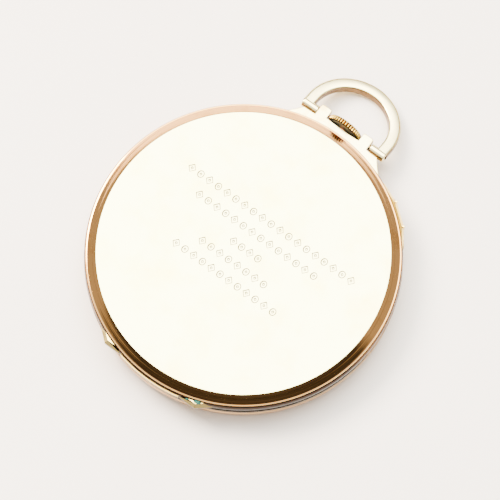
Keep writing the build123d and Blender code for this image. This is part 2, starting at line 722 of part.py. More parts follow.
setting_phase_direction = bearing(MINUTE, SETTING)
minute_phase = meshed_phase(0.0, CANNON_TEETH, bearing(CENTER, MINUTE), MINUTE_TEETH)
setting_phase = meshed_phase(minute_phase, MINUTE_TEETH, setting_phase_direction, SETTING_TEETH)
SETTING_TOP = STEM_Z - CLUTCH_R + 0.1
with BuildPart() as setting_wheel:
    with BuildSketch(level(SETTING, LEAF_Z)):
        gear(SETTING_TEETH, MOTION_MODULE, setting_phase)
        Circle(0.5 + RUN, mode=Mode.SUBTRACT)
    extrude(amount=SETTING_TOP - LEAF_Z)
save(setting_wheel, "setting_wheel")

# ================================================================ motion works and hands
with BuildPart() as minute_wheel:
    with BuildSketch(level(MINUTE, LEAF_Z)):
        gear(MINUTE_TEETH, MOTION_MODULE, minute_phase)
    extrude(amount=WHEEL_THICK + 0.02)
    with BuildSketch(level(MINUTE, HOUR_Z)):
        gear(MINUTE_LEAVES, HOUR_MODULE, bearing(MINUTE, CENTER))
    extrude(amount=LEAF_Z - HOUR_Z)
    with BuildSketch(level(MINUTE, HOUR_Z)):
        Circle(0.3 + RUN)
    extrude(amount=1.0, mode=Mode.SUBTRACT)
save(minute_wheel, "minute_wheel")

SECONDS_Z = DIAL_Z - 0.25
HOUR_HAND_Z = DIAL_Z - 0.42
MINUTE_HAND_Z = DIAL_Z - 0.62
HAND_THICK = 0.1
CANNON_R = 0.42
CENTER_POST = 0.22
with BuildPart() as cannon_pinion:
    with BuildSketch(Plane.XY.offset(LEAF_Z - 0.03)):
        gear(CANNON_TEETH, MOTION_MODULE, 0.0)
    extrude(amount=WHEEL_THICK + 0.06)
    stepped(CENTER, ((CANNON_R, MINUTE_HAND_Z - 0.05, LEAF_Z),))
    with BuildSketch(Plane.XY.offset(MINUTE_HAND_Z - 1)):
        Circle(CENTER_POST)
    extrude(amount=4, mode=Mode.SUBTRACT)
save(cannon_pinion, "cannon_pinion")

hour_phase = meshed_phase(bearing(MINUTE, CENTER), MINUTE_LEAVES, bearing(MINUTE, CENTER), HOUR_TEETH)
with BuildPart() as hour_wheel:
    with BuildSketch(Plane.XY.offset(HOUR_Z)):
        gear(HOUR_TEETH, HOUR_MODULE, hour_phase)
    extrude(amount=WHEEL_THICK)
    stepped(CENTER, ((CANNON_R + 0.3, HOUR_HAND_Z - 0.05, HOUR_Z),))
    with BuildSketch(Plane.XY.offset(HOUR_HAND_Z - 1)):
        Circle(CANNON_R + RUN)
    extrude(amount=4, mode=Mode.SUBTRACT)
save(hour_wheel, "hour_wheel")


def hand(z, hub_r, bore_r, angle, length, width, tail):
    """Adds a leaf hand that points at angle from +Y, clockwise seen from the dial, in the open part."""
    turn = 90 + angle
    plane = Plane(origin=(0, 0, z), x_dir=(cos(radians(turn)), sin(radians(turn)), 0), z_dir=(0, 0, 1))
    with BuildSketch(plane) as face:
        Circle(hub_r)
        Polygon(
            (-tail, 0.2),
            (0, 0.22),
            (length * 0.25, 0.2),
            (length * 0.6, width / 2),
            (length, 0.05),
            (length, -0.05),
            (length * 0.6, -width / 2),
            (length * 0.25, -0.2),
            (0, -0.22),
            (-tail, -0.2),
            align=None,
        )
        Circle(bore_r, mode=Mode.SUBTRACT)
    extrude(face.sketch, amount=HAND_THICK)


HOUR_HAND_ANGLE = 305.0
MINUTE_HAND_ANGLE = 60.0
with BuildPart() as hour_hand:
    hand(HOUR_HAND_Z, CANNON_R + 0.75, CANNON_R + 0.3, HOUR_HAND_ANGLE, 10.2, 1.3, 0.5)
save(hour_hand, "hour_hand")

with BuildPart() as minute_hand:
    hand(MINUTE_HAND_Z, CANNON_R + 0.5, CANNON_R, MINUTE_HAND_ANGLE, 15.6, 1.0, 0.5)
save(minute_hand, "minute_hand")

with BuildPart() as seconds_hand:
    with BuildSketch(level(FOURTH, SECONDS_Z)):
        Circle(0.4)
        Polygon((-0.09, -1.3), (0.09, -1.3), (0.04, 3.5), (-0.04, 3.5), align=None)
        Circle(SECONDS_R, mode=Mode.SUBTRACT)
    extrude(amount=HAND_THICK)
save(seconds_hand, "seconds_hand")

# ================================================================ dial
FOOT_ANGLES = (60.0, 200.0, 300.0)
FOOT_R = 0.35
FOOT_CIRCLE = PLATE_R - 1.1
SUBDIAL_R = 4.4
with BuildPart() as dial:
    with BuildSketch(Plane.XY.offset(DIAL_Z)):
        Circle(PLATE_R)
        Circle(CANNON_R + 0.3 + FIT, mode=Mode.SUBTRACT)
        with Locations(FOURTH):
            Circle(SECONDS_R + FIT, mode=Mode.SUBTRACT)
    extrude(amount=DIAL_THICK)
    # the sunk circle of the small seconds
    with BuildSketch(level(FOURTH, DIAL_Z)):
        Circle(SUBDIAL_R)
        Circle(SECONDS_R + FIT, mode=Mode.SUBTRACT)
    extrude(amount=0.08, mode=Mode.SUBTRACT)
save(dial, "dial")

with BuildPart() as dial_feet:
    for angle in FOOT_ANGLES:
        stepped(polar(FOOT_CIRCLE, angle), ((FOOT_R, PLATE_Z, PLATE_TOP - 0.2),))
save(dial_feet, "dial_feet")

# ================================================================ going barrel
barrel_phase = bearing(BARREL, CENTER)
ARBOR_CORE_R = 2.2
DRUM_R = BARREL_TEETH * BARREL_MODULE / 2 - 0.45
DRUM_WALL = 0.45
with BuildPart() as barrel:
    stepped(BARREL, ((DRUM_R, BARREL_Z, BARREL_TOP),))
    with BuildSketch(level(BARREL, BARREL_Z + 0.1)):
        gear(BARREL_TEETH, BARREL_MODULE, barrel_phase)
    extrude(amount=0.3)
    with BuildSketch(level(BARREL, BARREL_Z + 0.2)):
        Circle(DRUM_R - DRUM_WALL)
    extrude(amount=BARREL_HIGH, mode=Mode.SUBTRACT)
    with BuildSketch(level(BARREL, BARREL_TOP - 0.2)):
        Circle(DRUM_R - DRUM_WALL + 0.15)
    extrude(amount=0.2, mode=Mode.SUBTRACT)
    with BuildSketch(level(BARREL, BARREL_Z)):
        Circle(0.9 + RUN)
    extrude(amount=1, mode=Mode.SUBTRACT)
save(barrel, "barrel")

with BuildPart() as barrel_cover:
    with BuildSketch(level(BARREL, BARREL_TOP - 0.2)):
        Circle(DRUM_R - DRUM_WALL + 0.15)
        Circle(1.1 + RUN, mode=Mode.SUBTRACT)
    extrude(amount=0.2)
save(barrel_cover, "barrel_cover")

SPRING_HIGH = BARREL_HIGH - 0.2 - 0.2 - 2 * FIT
with BuildPart() as mainspring:
    with BuildSketch(level(BARREL, BARREL_Z + 0.2 + FIT)):
        Polygon(*spiral_points(ARBOR_CORE_R + 0.15, DRUM_R - DRUM_WALL - 0.1, 9, 0.14), align=None)
    extrude(amount=SPRING_HIGH)
save(mainspring, "mainspring")

WHEEL_SQUARE = 1.4
with BuildPart() as barrel_arbor:
    stepped(
        BARREL,
        (
            (0.9, PLATE_Z + 0.2, BARREL_Z + 0.2 + FIT),
            (ARBOR_CORE_R, BARREL_Z + 0.2 + FIT, BARREL_TOP - 0.2 - FIT),
            (1.1, BARREL_TOP - 0.2 - FIT, BARREL_BRIDGE_TOP + 0.1),
        ),
    )
    with BuildSketch(level(BARREL, BARREL_BRIDGE_TOP + 0.1)):
        Rectangle(WHEEL_SQUARE, WHEEL_SQUARE)
    extrude(amount=WINDING_Z + WINDING_THICK - BARREL_BRIDGE_TOP - 0.1 - 0.02)
save(barrel_arbor, "barrel_arbor")

crown_phase = bearing(CROWN_WHEEL, BARREL)
ratchet_phase = meshed_phase(crown_phase, CROWN_TEETH, crown_phase, RATCHET_TEETH)
with BuildPart() as ratchet_wheel:
    with BuildSketch(level(BARREL, WINDING_Z)):
        gear(RATCHET_TEETH, WINDING_MODULE, ratchet_phase)
        Rectangle(WHEEL_SQUARE, WHEEL_SQUARE, mode=Mode.SUBTRACT)
    extrude(amount=WINDING_THICK)
    chamfer(ratchet_wheel.faces().sort_by(Axis.Z)[-1].inner_wires()[0].edges(), length=0.03)
save(ratchet_wheel, "ratchet_wheel")

with BuildPart() as ratchet_screw:
    with BuildSketch(level(BARREL, WINDING_Z + WINDING_THICK)):
        Circle(1.5)
    extrude(amount=0.2)
    chamfer(ratchet_screw.edges().group_by(Axis.Z)[-1], length=0.06)
    with BuildSketch(level(BARREL, WINDING_Z + WINDING_THICK + 0.1)):
        Rectangle(3.2, 0.28)
    extrude(amount=0.2, mode=Mode.SUBTRACT)
save(ratchet_screw, "ratchet_screw")

CORE_R = 1.0
with BuildPart() as crown_wheel:
    with BuildSketch(level(CROWN_WHEEL, WINDING_Z)):
        gear(CROWN_TEETH, WINDING_MODULE, crown_phase)
    extrude(amount=WINDING_THICK)
    # the teeth on its underside, which the winding pinion drives
    with BuildSketch(level(CROWN_WHEEL, WINDING_Z - CONTRATE_DEEP)):
        with PolarLocations((CONTRATE_IN + CONTRATE_OUT) / 2, CROWN_TEETH, start_angle=90):
            Rectangle(CONTRATE_OUT - CONTRATE_IN, 0.24)
    extrude(amount=CONTRATE_DEEP)
    with BuildSketch(level(CROWN_WHEEL, WINDING_Z - CONTRATE_DEEP)):
        Circle(CORE_R + RUN)
    extrude(amount=1, mode=Mode.SUBTRACT)
save(crown_wheel, "crown_wheel")

with BuildPart() as crown_wheel_screw:
    stepped(
        CROWN_WHEEL,
        (
            (CORE_R, BARREL_BRIDGE_TOP, WINDING_Z + WINDING_THICK + 0.03),
            (1.55, WINDING_Z + WINDING_THICK + 0.03, WINDING_Z + WINDING_THICK + 0.21),
        ),
    )
    for side in (-1, 1):
        with BuildSketch(level(CROWN_WHEEL, WINDING_Z + WINDING_THICK + 0.1)):
            with Locations((side * 1.0, 0)):
                Circle(0.18)
        extrude(amount=0.2, mode=Mode.SUBTRACT)
save(crown_wheel_screw, "crown_wheel_screw")


def beside_barrel(radius, angle):
    """The plan point at this radius and angle from the barrel's axis."""
    dx, dy = polar(radius, angle)
    return BARREL[0] + dx, BARREL[1] + dy


RATCHET_TIP = RATCHET_TEETH * WINDING_MODULE / 2 + ADDENDUM * WINDING_MODULE
CLICK_PIVOT = beside_barrel(RATCHET_TIP + 1.2, 80)
CLICK_NOSE = beside_barrel(RATCHET_TIP + 0.17, 93)
with BuildPart() as click:
    with BuildSketch(Plane.XY.offset(WINDING_Z)):
        for centre, radius in ((CLICK_PIVOT, 0.75), (CLICK_NOSE, 0.12)):
            with Locations(centre):
                Circle(radius)
        make_hull()
        with Locations(CLICK_PIVOT):
            Circle(0.35 + RUN, mode=Mode.SUBTRACT)
    extrude(amount=WINDING_THICK)
save(click, "click")

with BuildPart() as click_spring:
    with BuildSketch(Plane.XY.offset(BARREL_BRIDGE_TOP)):
        for centre, radius in (
            (beside_barrel(RATCHET_TIP + 2.1, 80), 0.07),
            (beside_barrel(RATCHET_TIP + 2.1, 62), 0.1),
        ):
            with Locations(centre):
                Circle(radius)
        make_hull()
        with Locations(beside_barrel(RATCHET_TIP + 2.1, 62)):
            Circle(0.5)
    extrude(amount=0.35)
save(click_spring, "click_spring")


# ================================================================ wheels and pinions of the train
def wheel(point, z, teeth, module, phase, bore, spokes, rim=0.55, hub=0.95):
    """Adds a crossed-out wheel with a bore for its pinion, in the open part."""
    root_r = teeth * module / 2 - DEDENDUM * module
    with BuildSketch(level(point, z)) as face:
        gear(teeth, module, phase)
        arms(root_r - rim, hub, spokes, 0.42, phase + 20)
        Circle(bore, mode=Mode.SUBTRACT)
    extrude(face.sketch, amount=WHEEL_THICK)


def pinion(point, low, high, leaves, module, phase):
    """Adds a pinion's leaves between two heights, in the open part."""
    with BuildSketch(level(point, low)) as face:
        gear(leaves, module, phase)
    extrude(face.sketch, amount=high - low)


JEWEL_LOW = PLATE_TOP - JEWEL_THICK
PIVOT_LOW = JEWEL_LOW - 0.02
HUB_R = 0.5

center_phase = bearing(CENTER, THIRD)
third_phase = bearing(THIRD, FOURTH)
fourth_phase = bearing(FOURTH, ESCAPE)
with BuildPart() as center_wheel:
    wheel(CENTER, CENTER_Z, CENTER_TEETH, CENTER_MODULE, center_phase, HUB_R, 5)
save(center_wheel, "center_wheel")

with BuildPart() as center_pinion:
    phase = meshed_phase(barrel_phase, BARREL_TEETH, barrel_phase, CENTER_LEAVES)
    pinion(CENTER, BARREL_Z + FIT, CENTER_Z, CENTER_LEAVES, BARREL_MODULE, phase)
    stepped(
        CENTER,
        (
            (CENTER_POST, MINUTE_HAND_Z - 0.08, MOTION_TOP),
            (0.35, MOTION_TOP, BARREL_Z + FIT),
            (HUB_R, CENTER_Z, CENTER_Z + WHEEL_THICK),
            (0.3, CENTER_Z + WHEEL_THICK, BARREL_BRIDGE_Z - 0.02),
            (0.2, BARREL_BRIDGE_Z - 0.02, BARREL_BRIDGE_Z + 0.3),
        ),
    )
save(center_pinion, "center_pinion")

with BuildPart() as third_wheel:
    wheel(THIRD, THIRD_Z, THIRD_TEETH, THIRD_MODULE, third_phase, HUB_R, 5)
save(third_wheel, "third_wheel")

with BuildPart() as third_pinion:
    phase = meshed_phase(center_phase, CENTER_TEETH, center_phase, THIRD_LEAVES)
    pinion(THIRD, CENTER_Z - 0.1, THIRD_Z, THIRD_LEAVES, CENTER_MODULE, phase)
    stepped(
        THIRD,
        (
            (PIVOT_R, PIVOT_LOW, PLATE_TOP + 0.03),
            (ARBOR_R, PLATE_TOP + 0.03, CENTER_Z - 0.1),
            (HUB_R, THIRD_Z, THIRD_Z + WHEEL_THICK),
            (ARBOR_R, THIRD_Z + WHEEL_THICK, TRAIN_BRIDGE_Z - 0.03),
            (PIVOT_R, TRAIN_BRIDGE_Z - 0.03, TRAIN_BRIDGE_Z + JEWEL_THICK),
        ),
    )
save(third_pinion, "third_pinion")

with BuildPart() as fourth_wheel:
    wheel(FOURTH, FOURTH_Z, FOURTH_TEETH, FOURTH_MODULE, fourth_phase, ARBOR_R, 4, rim=0.4, hub=0.7)
save(fourth_wheel, "fourth_wheel")

with BuildPart() as fourth_pinion:
    phase = meshed_phase(third_phase, THIRD_TEETH, third_phase, FOURTH_LEAVES)
    pinion(FOURTH, THIRD_Z - 0.1, TRAIN_BRIDGE_Z - 0.08, FOURTH_LEAVES, THIRD_MODULE, phase)
    stepped(
        FOURTH,
        (
            (SECONDS_R, SECONDS_Z - 0.05, PLATE_TOP + 0.03),
            (ARBOR_R, PLATE_TOP + 0.03, THIRD_Z - 0.1),
            (PIVOT_R, TRAIN_BRIDGE_Z - 0.08, TRAIN_BRIDGE_Z + JEWEL_THICK),
        ),
    )
save(fourth_pinion, "fourth_pinion")

ESCAPE_ARBOR = 0.2
with BuildPart() as escape_wheel:
    with BuildSketch(level(ESCAPE, ESCAPE_Z)):
        Circle(ESCAPE_R - 0.55)
        with PolarLocations(0, ESCAPE_TEETH):
            Polygon(
                polar(ESCAPE_R - 0.6, -6),
                polar(ESCAPE_R - 0.08, 3.0),
                polar(ESCAPE_R, 5.0),
                polar(ESCAPE_R - 0.02, 7.0),
                polar(ESCAPE_R - 0.2, 5.5),
                polar(ESCAPE_R - 0.6, 3),
                align=None,
            )
        arms(ESCAPE_R - 0.85, 0.5, 4, 0.24)
        Circle(ESCAPE_ARBOR, mode=Mode.SUBTRACT)
    extrude(amount=WHEEL_THICK)
save(escape_wheel, "escape_wheel")

with BuildPart() as escape_pinion:
    phase = meshed_phase(fourth_phase, FOURTH_TEETH, fourth_phase, ESCAPE_LEAVES)
    pinion(ESCAPE, PLATE_TOP + 0.04, ESCAPE_Z - 0.1, ESCAPE_LEAVES, FOURTH_MODULE, phase)
    stepped(
        ESCAPE,
        (
            (PIVOT_R, PIVOT_LOW, PLATE_TOP + 0.04),
            (ESCAPE_ARBOR, ESCAPE_Z - 0.1, TRAIN_BRIDGE_Z - 0.03),
            (PIVOT_R, TRAIN_BRIDGE_Z - 0.03, TRAIN_BRIDGE_Z + JEWEL_THICK),
        ),
    )
save(escape_pinion, "escape_pinion")

# ================================================================ pallets and balance
pallet_plane = Plane(
    origin=(PALLET[0], PALLET[1], ESCAPE_Z),
    x_dir=(cos(radians(PALLET_LINE)), sin(radians(PALLET_LINE)), 0),
    z_dir=(0, 0, 1),
)
ROLLER_PIN_R = 0.8
ROLLER_PIN = 0.12
STONE_R = ESCAPE_R + PALLET_GAP
FORK_LENGTH = PALLET_TO_BALANCE - ROLLER_PIN_R - ROLLER_PIN - FIT
STONE_LENGTH = 0.5
STONE_LEANS = (-30, 30)
STONE_WIDTH = 0.2


def at_stone(lean, reach):
    """A place on a pallet stone's line, this far out from the tips of the escape wheel's teeth."""
    out, across = polar(STONE_R + reach, lean)
    return Location((out - ESCAPE_TO_PALLET, across, 0), (0, 0, lean))


def fork_arm(lean):
    """Draws the fork's arm from its staff to the stone that leans at this angle."""
    root = at_stone(lean, STONE_LENGTH + 0.05).position
    with BuildSketch(mode=Mode.PRIVATE) as arm:
        Circle(0.3)
        with Locations((root.X, root.Y)):
            Circle(0.26)
        make_hull()
    add(arm.sketch)


with BuildPart() as pallet_fork:
    with BuildSketch(pallet_plane):
        with Locations((FORK_LENGTH / 2, 0)):
            Rectangle(FORK_LENGTH, 0.26)
        with Locations((FORK_LENGTH - 0.25, 0)):
            Rectangle(0.5, 0.62)
        with Locations((FORK_LENGTH - 0.05, 0)):
            Rectangle(0.5, 0.28, mode=Mode.SUBTRACT)
        Circle(0.45)
        for lean in STONE_LEANS:
            fork_arm(lean)
            with Locations(at_stone(lean, STONE_LENGTH * 0.75)):
                Rectangle(STONE_LENGTH, STONE_WIDTH + 0.26)
    extrude(amount=WHEEL_THICK)
    stepped(
        PALLET,
        (
            (0.08, PIVOT_LOW, PLATE_TOP + 0.03),
            (0.18, PLATE_TOP + 0.03, PALLET_COCK_Z - 0.03),
            (0.08, PALLET_COCK_Z - 0.03, PALLET_COCK_Z + PALLET_COCK_THICK - 0.03),
        ),
    )
    for lean in STONE_LEANS:
        with BuildSketch(pallet_plane):
            with Locations(at_stone(lean, STONE_LENGTH / 2)):
                Rectangle(STONE_LENGTH, STONE_WIDTH)
        extrude(amount=WHEEL_THICK, mode=Mode.SUBTRACT)
save(pallet_fork, "pallet_fork")

with BuildPart() as pallet_stones:
    for lean in STONE_LEANS:
        with BuildSketch(pallet_plane):
            with Locations(at_stone(lean, STONE_LENGTH / 2)):
                Rectangle(STONE_LENGTH, STONE_WIDTH)
        extrude(amount=WHEEL_THICK)
save(pallet_stones, "pallet_stones")

STAFF_R = 0.25
SCREW_COUNT = 14
with BuildPart() as balance_wheel:
    with BuildSketch(level(BALANCE, BALANCE_Z)):
        Circle(BALANCE_R)
        arms(BALANCE_R - BALANCE_RIM, 0.75, 3, 0.5)
        Circle(STAFF_R, mode=Mode.SUBTRACT)
    extrude(amount=BALANCE_THICK)
    # the arms are thinner than the rim
    with BuildSketch(level(BALANCE, BALANCE_Z + 0.25)):
        Circle(BALANCE_R - BALANCE_RIM)
    extrude(amount=BALANCE_THICK, mode=Mode.SUBTRACT)
    with Locations(level(BALANCE, BALANCE_Z + BALANCE_THICK / 2)):
        with PolarLocations(BALANCE_R, SCREW_COUNT, start_angle=12):
            Cylinder(0.09, 0.5, rotation=(0, 90, 0), mode=Mode.SUBTRACT)
save(balance_wheel, "balance_wheel")

with BuildPart() as balance_screws:
    with Locations(level(BALANCE, BALANCE_Z + BALANCE_THICK / 2)):
        with PolarLocations(BALANCE_R + 0.02 + (SCREW_OUT - 0.02) / 2, SCREW_COUNT, start_angle=12):
            Cylinder(0.17, SCREW_OUT - 0.02, rotation=(0, 90, 0))
        with PolarLocations(BALANCE_R - 0.08, SCREW_COUNT, start_angle=12):
            Cylinder(0.09, 0.25, rotation=(0, 90, 0))
save(balance_screws, "balance_screws")

with BuildPart() as balance_staff:
    stepped(
        BALANCE,
        (
            (0.08, PIVOT_LOW, PLATE_TOP + 0.06),
            (STAFF_R, PLATE_TOP + 0.06, COCK_Z - 0.06),
            (0.08, COCK_Z - 0.06, COCK_Z + JEWEL_THICK),
        ),
    )
save(balance_staff, "balance_staff")

with BuildPart() as roller:
    with BuildSketch(level(BALANCE, ROLLER_Z)):
        Circle(1.1)
        Circle(STAFF_R, mode=Mode.SUBTRACT)
    extrude(amount=0.15)
    pin_dx, pin_dy = polar(ROLLER_PIN_R, PALLET_LINE + 180)
    stepped((BALANCE[0] + pin_dx, BALANCE[1] + pin_dy), ((ROLLER_PIN, ESCAPE_Z - 0.04, ROLLER_Z),))
save(roller, "roller")

COIL_IN = 0.75
COIL_OUT = 3.3
with BuildPart() as hairspring:
    with BuildSketch(level(BALANCE, HAIRSPRING_Z)):
        Polygon(*spiral_points(COIL_IN, COIL_OUT, 10, 0.06), align=None)
        Circle(COIL_IN + 0.02)
        Circle(STAFF_R, mode=Mode.SUBTRACT)
    extrude(amount=HAIRSPRING_HIGH)
save(hairspring, "hairspring")

COCK_TURN = bearing(CENTER, BALANCE)
REGULATOR_RING = 1.3
with BuildPart() as regulator:
    with BuildSketch(level(BALANCE, COCK_TOP + 0.02)):
        for centre, radius in (((0, 0), REGULATOR_RING), (polar(4.0, COCK_TURN + 34), 0.12)):
            with Locations(centre):
                Circle(radius)
        make_hull()
        Circle(0.85 + RUN, mode=Mode.SUBTRACT)
    extrude(amount=0.12)
save(regulator, "regulator")

# ================================================================ mainplate
PILLARS = [polar(PLATE_R - 1.85, a) for a in (-4.0, 75.0, 118.0)]
PILLAR_R = 1.05
BRIDGE_R = LEDGE_R - 0.2
BRIDGE_LOW_Y = -2.2
TRAIN_FOOT = (2.5, -(PLATE_R - 3.1))
TRAIN_FOOT_R = 2.0
COCK_FOOT_R = 1.35
COCK_FEET = [polar(PLATE_R - 2.05, COCK_TURN + a) for a in (-4.5, 4.5)]
foot_dx, foot_dy = polar(3.0, PALLET_LINE + 90)
PALLET_FEET = [(PALLET[0] + side * foot_dx, PALLET[1] + side * foot_dy) for side in (-1, 1)]
CASE_SCREWS = [polar(PLATE_R - 1.2, a) for a in (150.0, -40.0)]
TRAIN_SCREW = TRAIN_FOOT
COCK_SCREW = polar(PLATE_R - 2.05, COCK_TURN)
SCREW_SHANK = 0.35
SCREW_HEAD = 0.8
BARREL_SWEEP = BARREL_TEETH * BARREL_MODULE / 2 + ADDENDUM * BARREL_MODULE
HOUR_SWEEP = HOUR_TEETH * HOUR_MODULE / 2 + ADDENDUM * HOUR_MODULE
MINUTE_SWEEP = MINUTE_TEETH * MOTION_MODULE / 2 + ADDENDUM * MOTION_MODULE
SETTING_SWEEP = SETTING_TEETH * MOTION_MODULE / 2 + ADDENDUM * MOTION_MODULE
THIRD_SWEEP = THIRD_TEETH * THIRD_MODULE / 2 + ADDENDUM * THIRD_MODULE
ROOM = 0.22  # round a wheel in its recess

with BuildPart() as mainplate:
    stepped(CENTER, ((PLATE_R, PLATE_Z, PLATE_TOP),))
    chamfer(mainplate.edges().group_by(Axis.Z)[0], length=0.1)
    # the dial side: the motion works' recess
    with BuildSketch(Plane.XY.offset(PLATE_Z)):
        Circle(HOUR_SWEEP + ROOM)
        with Locations(MINUTE):
            Circle(MINUTE_SWEEP + ROOM)
    extrude(amount=MOTION_TOP - PLATE_Z, mode=Mode.SUBTRACT)
    with BuildSketch(level(SETTING, PLATE_Z)):
        Circle(SETTING_SWEEP + 0.12)
    extrude(amount=SETTING_TOP + 0.07 - PLATE_Z, mode=Mode.SUBTRACT)
    with BuildSketch(Plane.XY.offset(PLATE_Z)):
        for centre, radius in (
            (LEVER_PIVOT, 1.05),
            ((0, LEVER_Y - 0.1), 0.7),
            ((0, LEVER_Y + CROWN_PULL + 0.1), 0.7),
            ((LEVER_PIVOT[0] - 0.9, LEVER_PIVOT[1] - 2.4), 1.1),
        ):
            with Locations(centre):
                Circle(radius)
        make_hull()
    extrude(amount=LEVER_Z + LEVER_THICK + FIT - PLATE_Z, mode=Mode.SUBTRACT)
    # the movement side: barrel, centre pinion, yoke, clutch and winding pinion
    with BuildSketch(level(BARREL, BARREL_FLOOR)):
        Circle(BARREL_SWEEP + ROOM)
    extrude(amount=PLATE_THICK, mode=Mode.SUBTRACT)
    with BuildSketch(Plane.XY.offset(BARREL_FLOOR)):
        Circle(CENTER_LEAVES * BARREL_MODULE / 2 + ADDENDUM * BARREL_MODULE + ROOM)
    extrude(amount=PLATE_THICK, mode=Mode.SUBTRACT)
    with BuildSketch(Plane.XY.offset(YOKE_Z - FIT)):
        for centre, radius in (
            (YOKE_PIVOT, 1.1),
            ((1.0, GROOVE_Y + 0.2), 0.6),
            ((1.0, GROOVE_Y - CLUTCH_SHIFT - 0.2), 0.6),
        ):
            with Locations(centre):
                Circle(radius)
        make_hull()
    extrude(amount=PLATE_THICK, mode=Mode.SUBTRACT)
    clutch_low_y = CLUTCH_IN - CLUTCH_SHIFT - 0.12
    with BuildSketch(Plane.XY.offset(STEM_Z - CLUTCH_R - 0.08)):
        with Locations((0, clutch_low_y)):
            Rectangle(2 * CLUTCH_R + 0.3, PINION_OUT - clutch_low_y, align=(Align.CENTER, Align.MIN))
    extrude(amount=PLATE_THICK, mode=Mode.SUBTRACT)
    with BuildSketch(Plane.XY.offset(PLATE_Z)):
        with Locations((0, PINION_IN - 0.12)):
            Rectangle(2 * PINION_TIP + 0.3, PINION_OUT - PINION_IN + 0.24, align=(Align.CENTER, Align.MIN))
        with Locations((0, LEVER_Y + CROWN_PULL / 2)):
            SlotCenterToCenter(CROWN_PULL, 0.5 + 2 * FIT, rotation=90)
    extrude(amount=PLATE_THICK, mode=Mode.SUBTRACT)
    with BuildSketch(Plane.XZ.offset(-PINION_OUT)):
        with Locations((0, STEM_Z)):
            Circle(STEM_R + RUN)
    extrude(amount=-PLATE_R, mode=Mode.SUBTRACT)
    # posts
    stepped(MINUTE, ((0.3, HOUR_Z - 0.02, MOTION_TOP),))
    stepped(SETTING, ((0.5, LEAF_Z - 0.03, SETTING_TOP + 0.1),))
    stepped(LEVER_PIVOT, ((0.35, LEVER_Z - 0.05, LEVER_Z + LEVER_THICK + 2 * FIT),))
    stepped(YOKE_PIVOT, ((0.4, YOKE_Z - 2 * FIT, YOKE_Z + YOKE_THICK + FIT),))
    # bearings, jewel seats, dial feet and screws
    for point, radius in (
        (CENTER, 0.35 + RUN),
        (BARREL, 0.9 + RUN),
        (FOURTH, SECONDS_R + 0.1),
        *[(p, SCREW_SHANK) for p in [*PILLARS, TRAIN_SCREW, COCK_SCREW, *CASE_SCREWS]],
    ):
        with BuildSketch(level(point, PLATE_Z)):
            Circle(radius)
        extrude(amount=PLATE_THICK + 0.1, mode=Mode.SUBTRACT)
    for point in (THIRD, FOURTH, ESCAPE, PALLET, BALANCE):
        with BuildSketch(level(point, JEWEL_LOW)):
            Circle(JEWEL_R)
        extrude(amount=JEWEL_THICK + 0.1, mode=Mode.SUBTRACT)
        with BuildSketch(level(point, JEWEL_LOW - 0.1)):
            Circle(0.25)
        extrude(amount=0.2, mode=Mode.SUBTRACT)
    for angle in FOOT_ANGLES:
        with BuildSketch(level(polar(FOOT_CIRCLE, angle), PLATE_Z)):
            Circle(FOOT_R + RUN)
        extrude(amount=PLATE_THICK - 0.15, mode=Mode.SUBTRACT)
save(mainplate, "mainplate")


def jewel(point, low, high, outer, hole):
    """Adds a ring jewel in the open part."""
    with BuildSketch(level(point, low)) as face:
        Circle(outer)
        Circle(hole, mode=Mode.SUBTRACT)
    extrude(face.sketch, amount=high - low)


with BuildPart() as plate_jewels:
    for point, hole in (
        (THIRD, PIVOT_R + RUN),
        (FOURTH, SECONDS_R + RUN),
        (ESCAPE, PIVOT_R + RUN),
        (PALLET, 0.08 + RUN),
        (BALANCE, 0.08 + RUN),
    ):
        jewel(point, JEWEL_LOW, PLATE_TOP, JEWEL_R, hole)
save(plate_jewels, "plate_jewels")

with BuildPart() as bridge_jewels:
    for point in (THIRD, FOURTH, ESCAPE):
        jewel(point, TRAIN_BRIDGE_Z, TRAIN_BRIDGE_TOP - 0.1, JEWEL_R, PIVOT_R + RUN)
    jewel(CENTER, BARREL_BRIDGE_Z, BARREL_BRIDGE_TOP, 0.7, 0.2 + RUN)
    jewel(PALLET, PALLET_COCK_Z, PALLET_COCK_Z + PALLET_COCK_THICK, 0.4, 0.08 + RUN)
    jewel(BALANCE, COCK_Z, COCK_TOP, JEWEL_R, 0.08 + RUN)
save(bridge_jewels, "bridge_jewels")

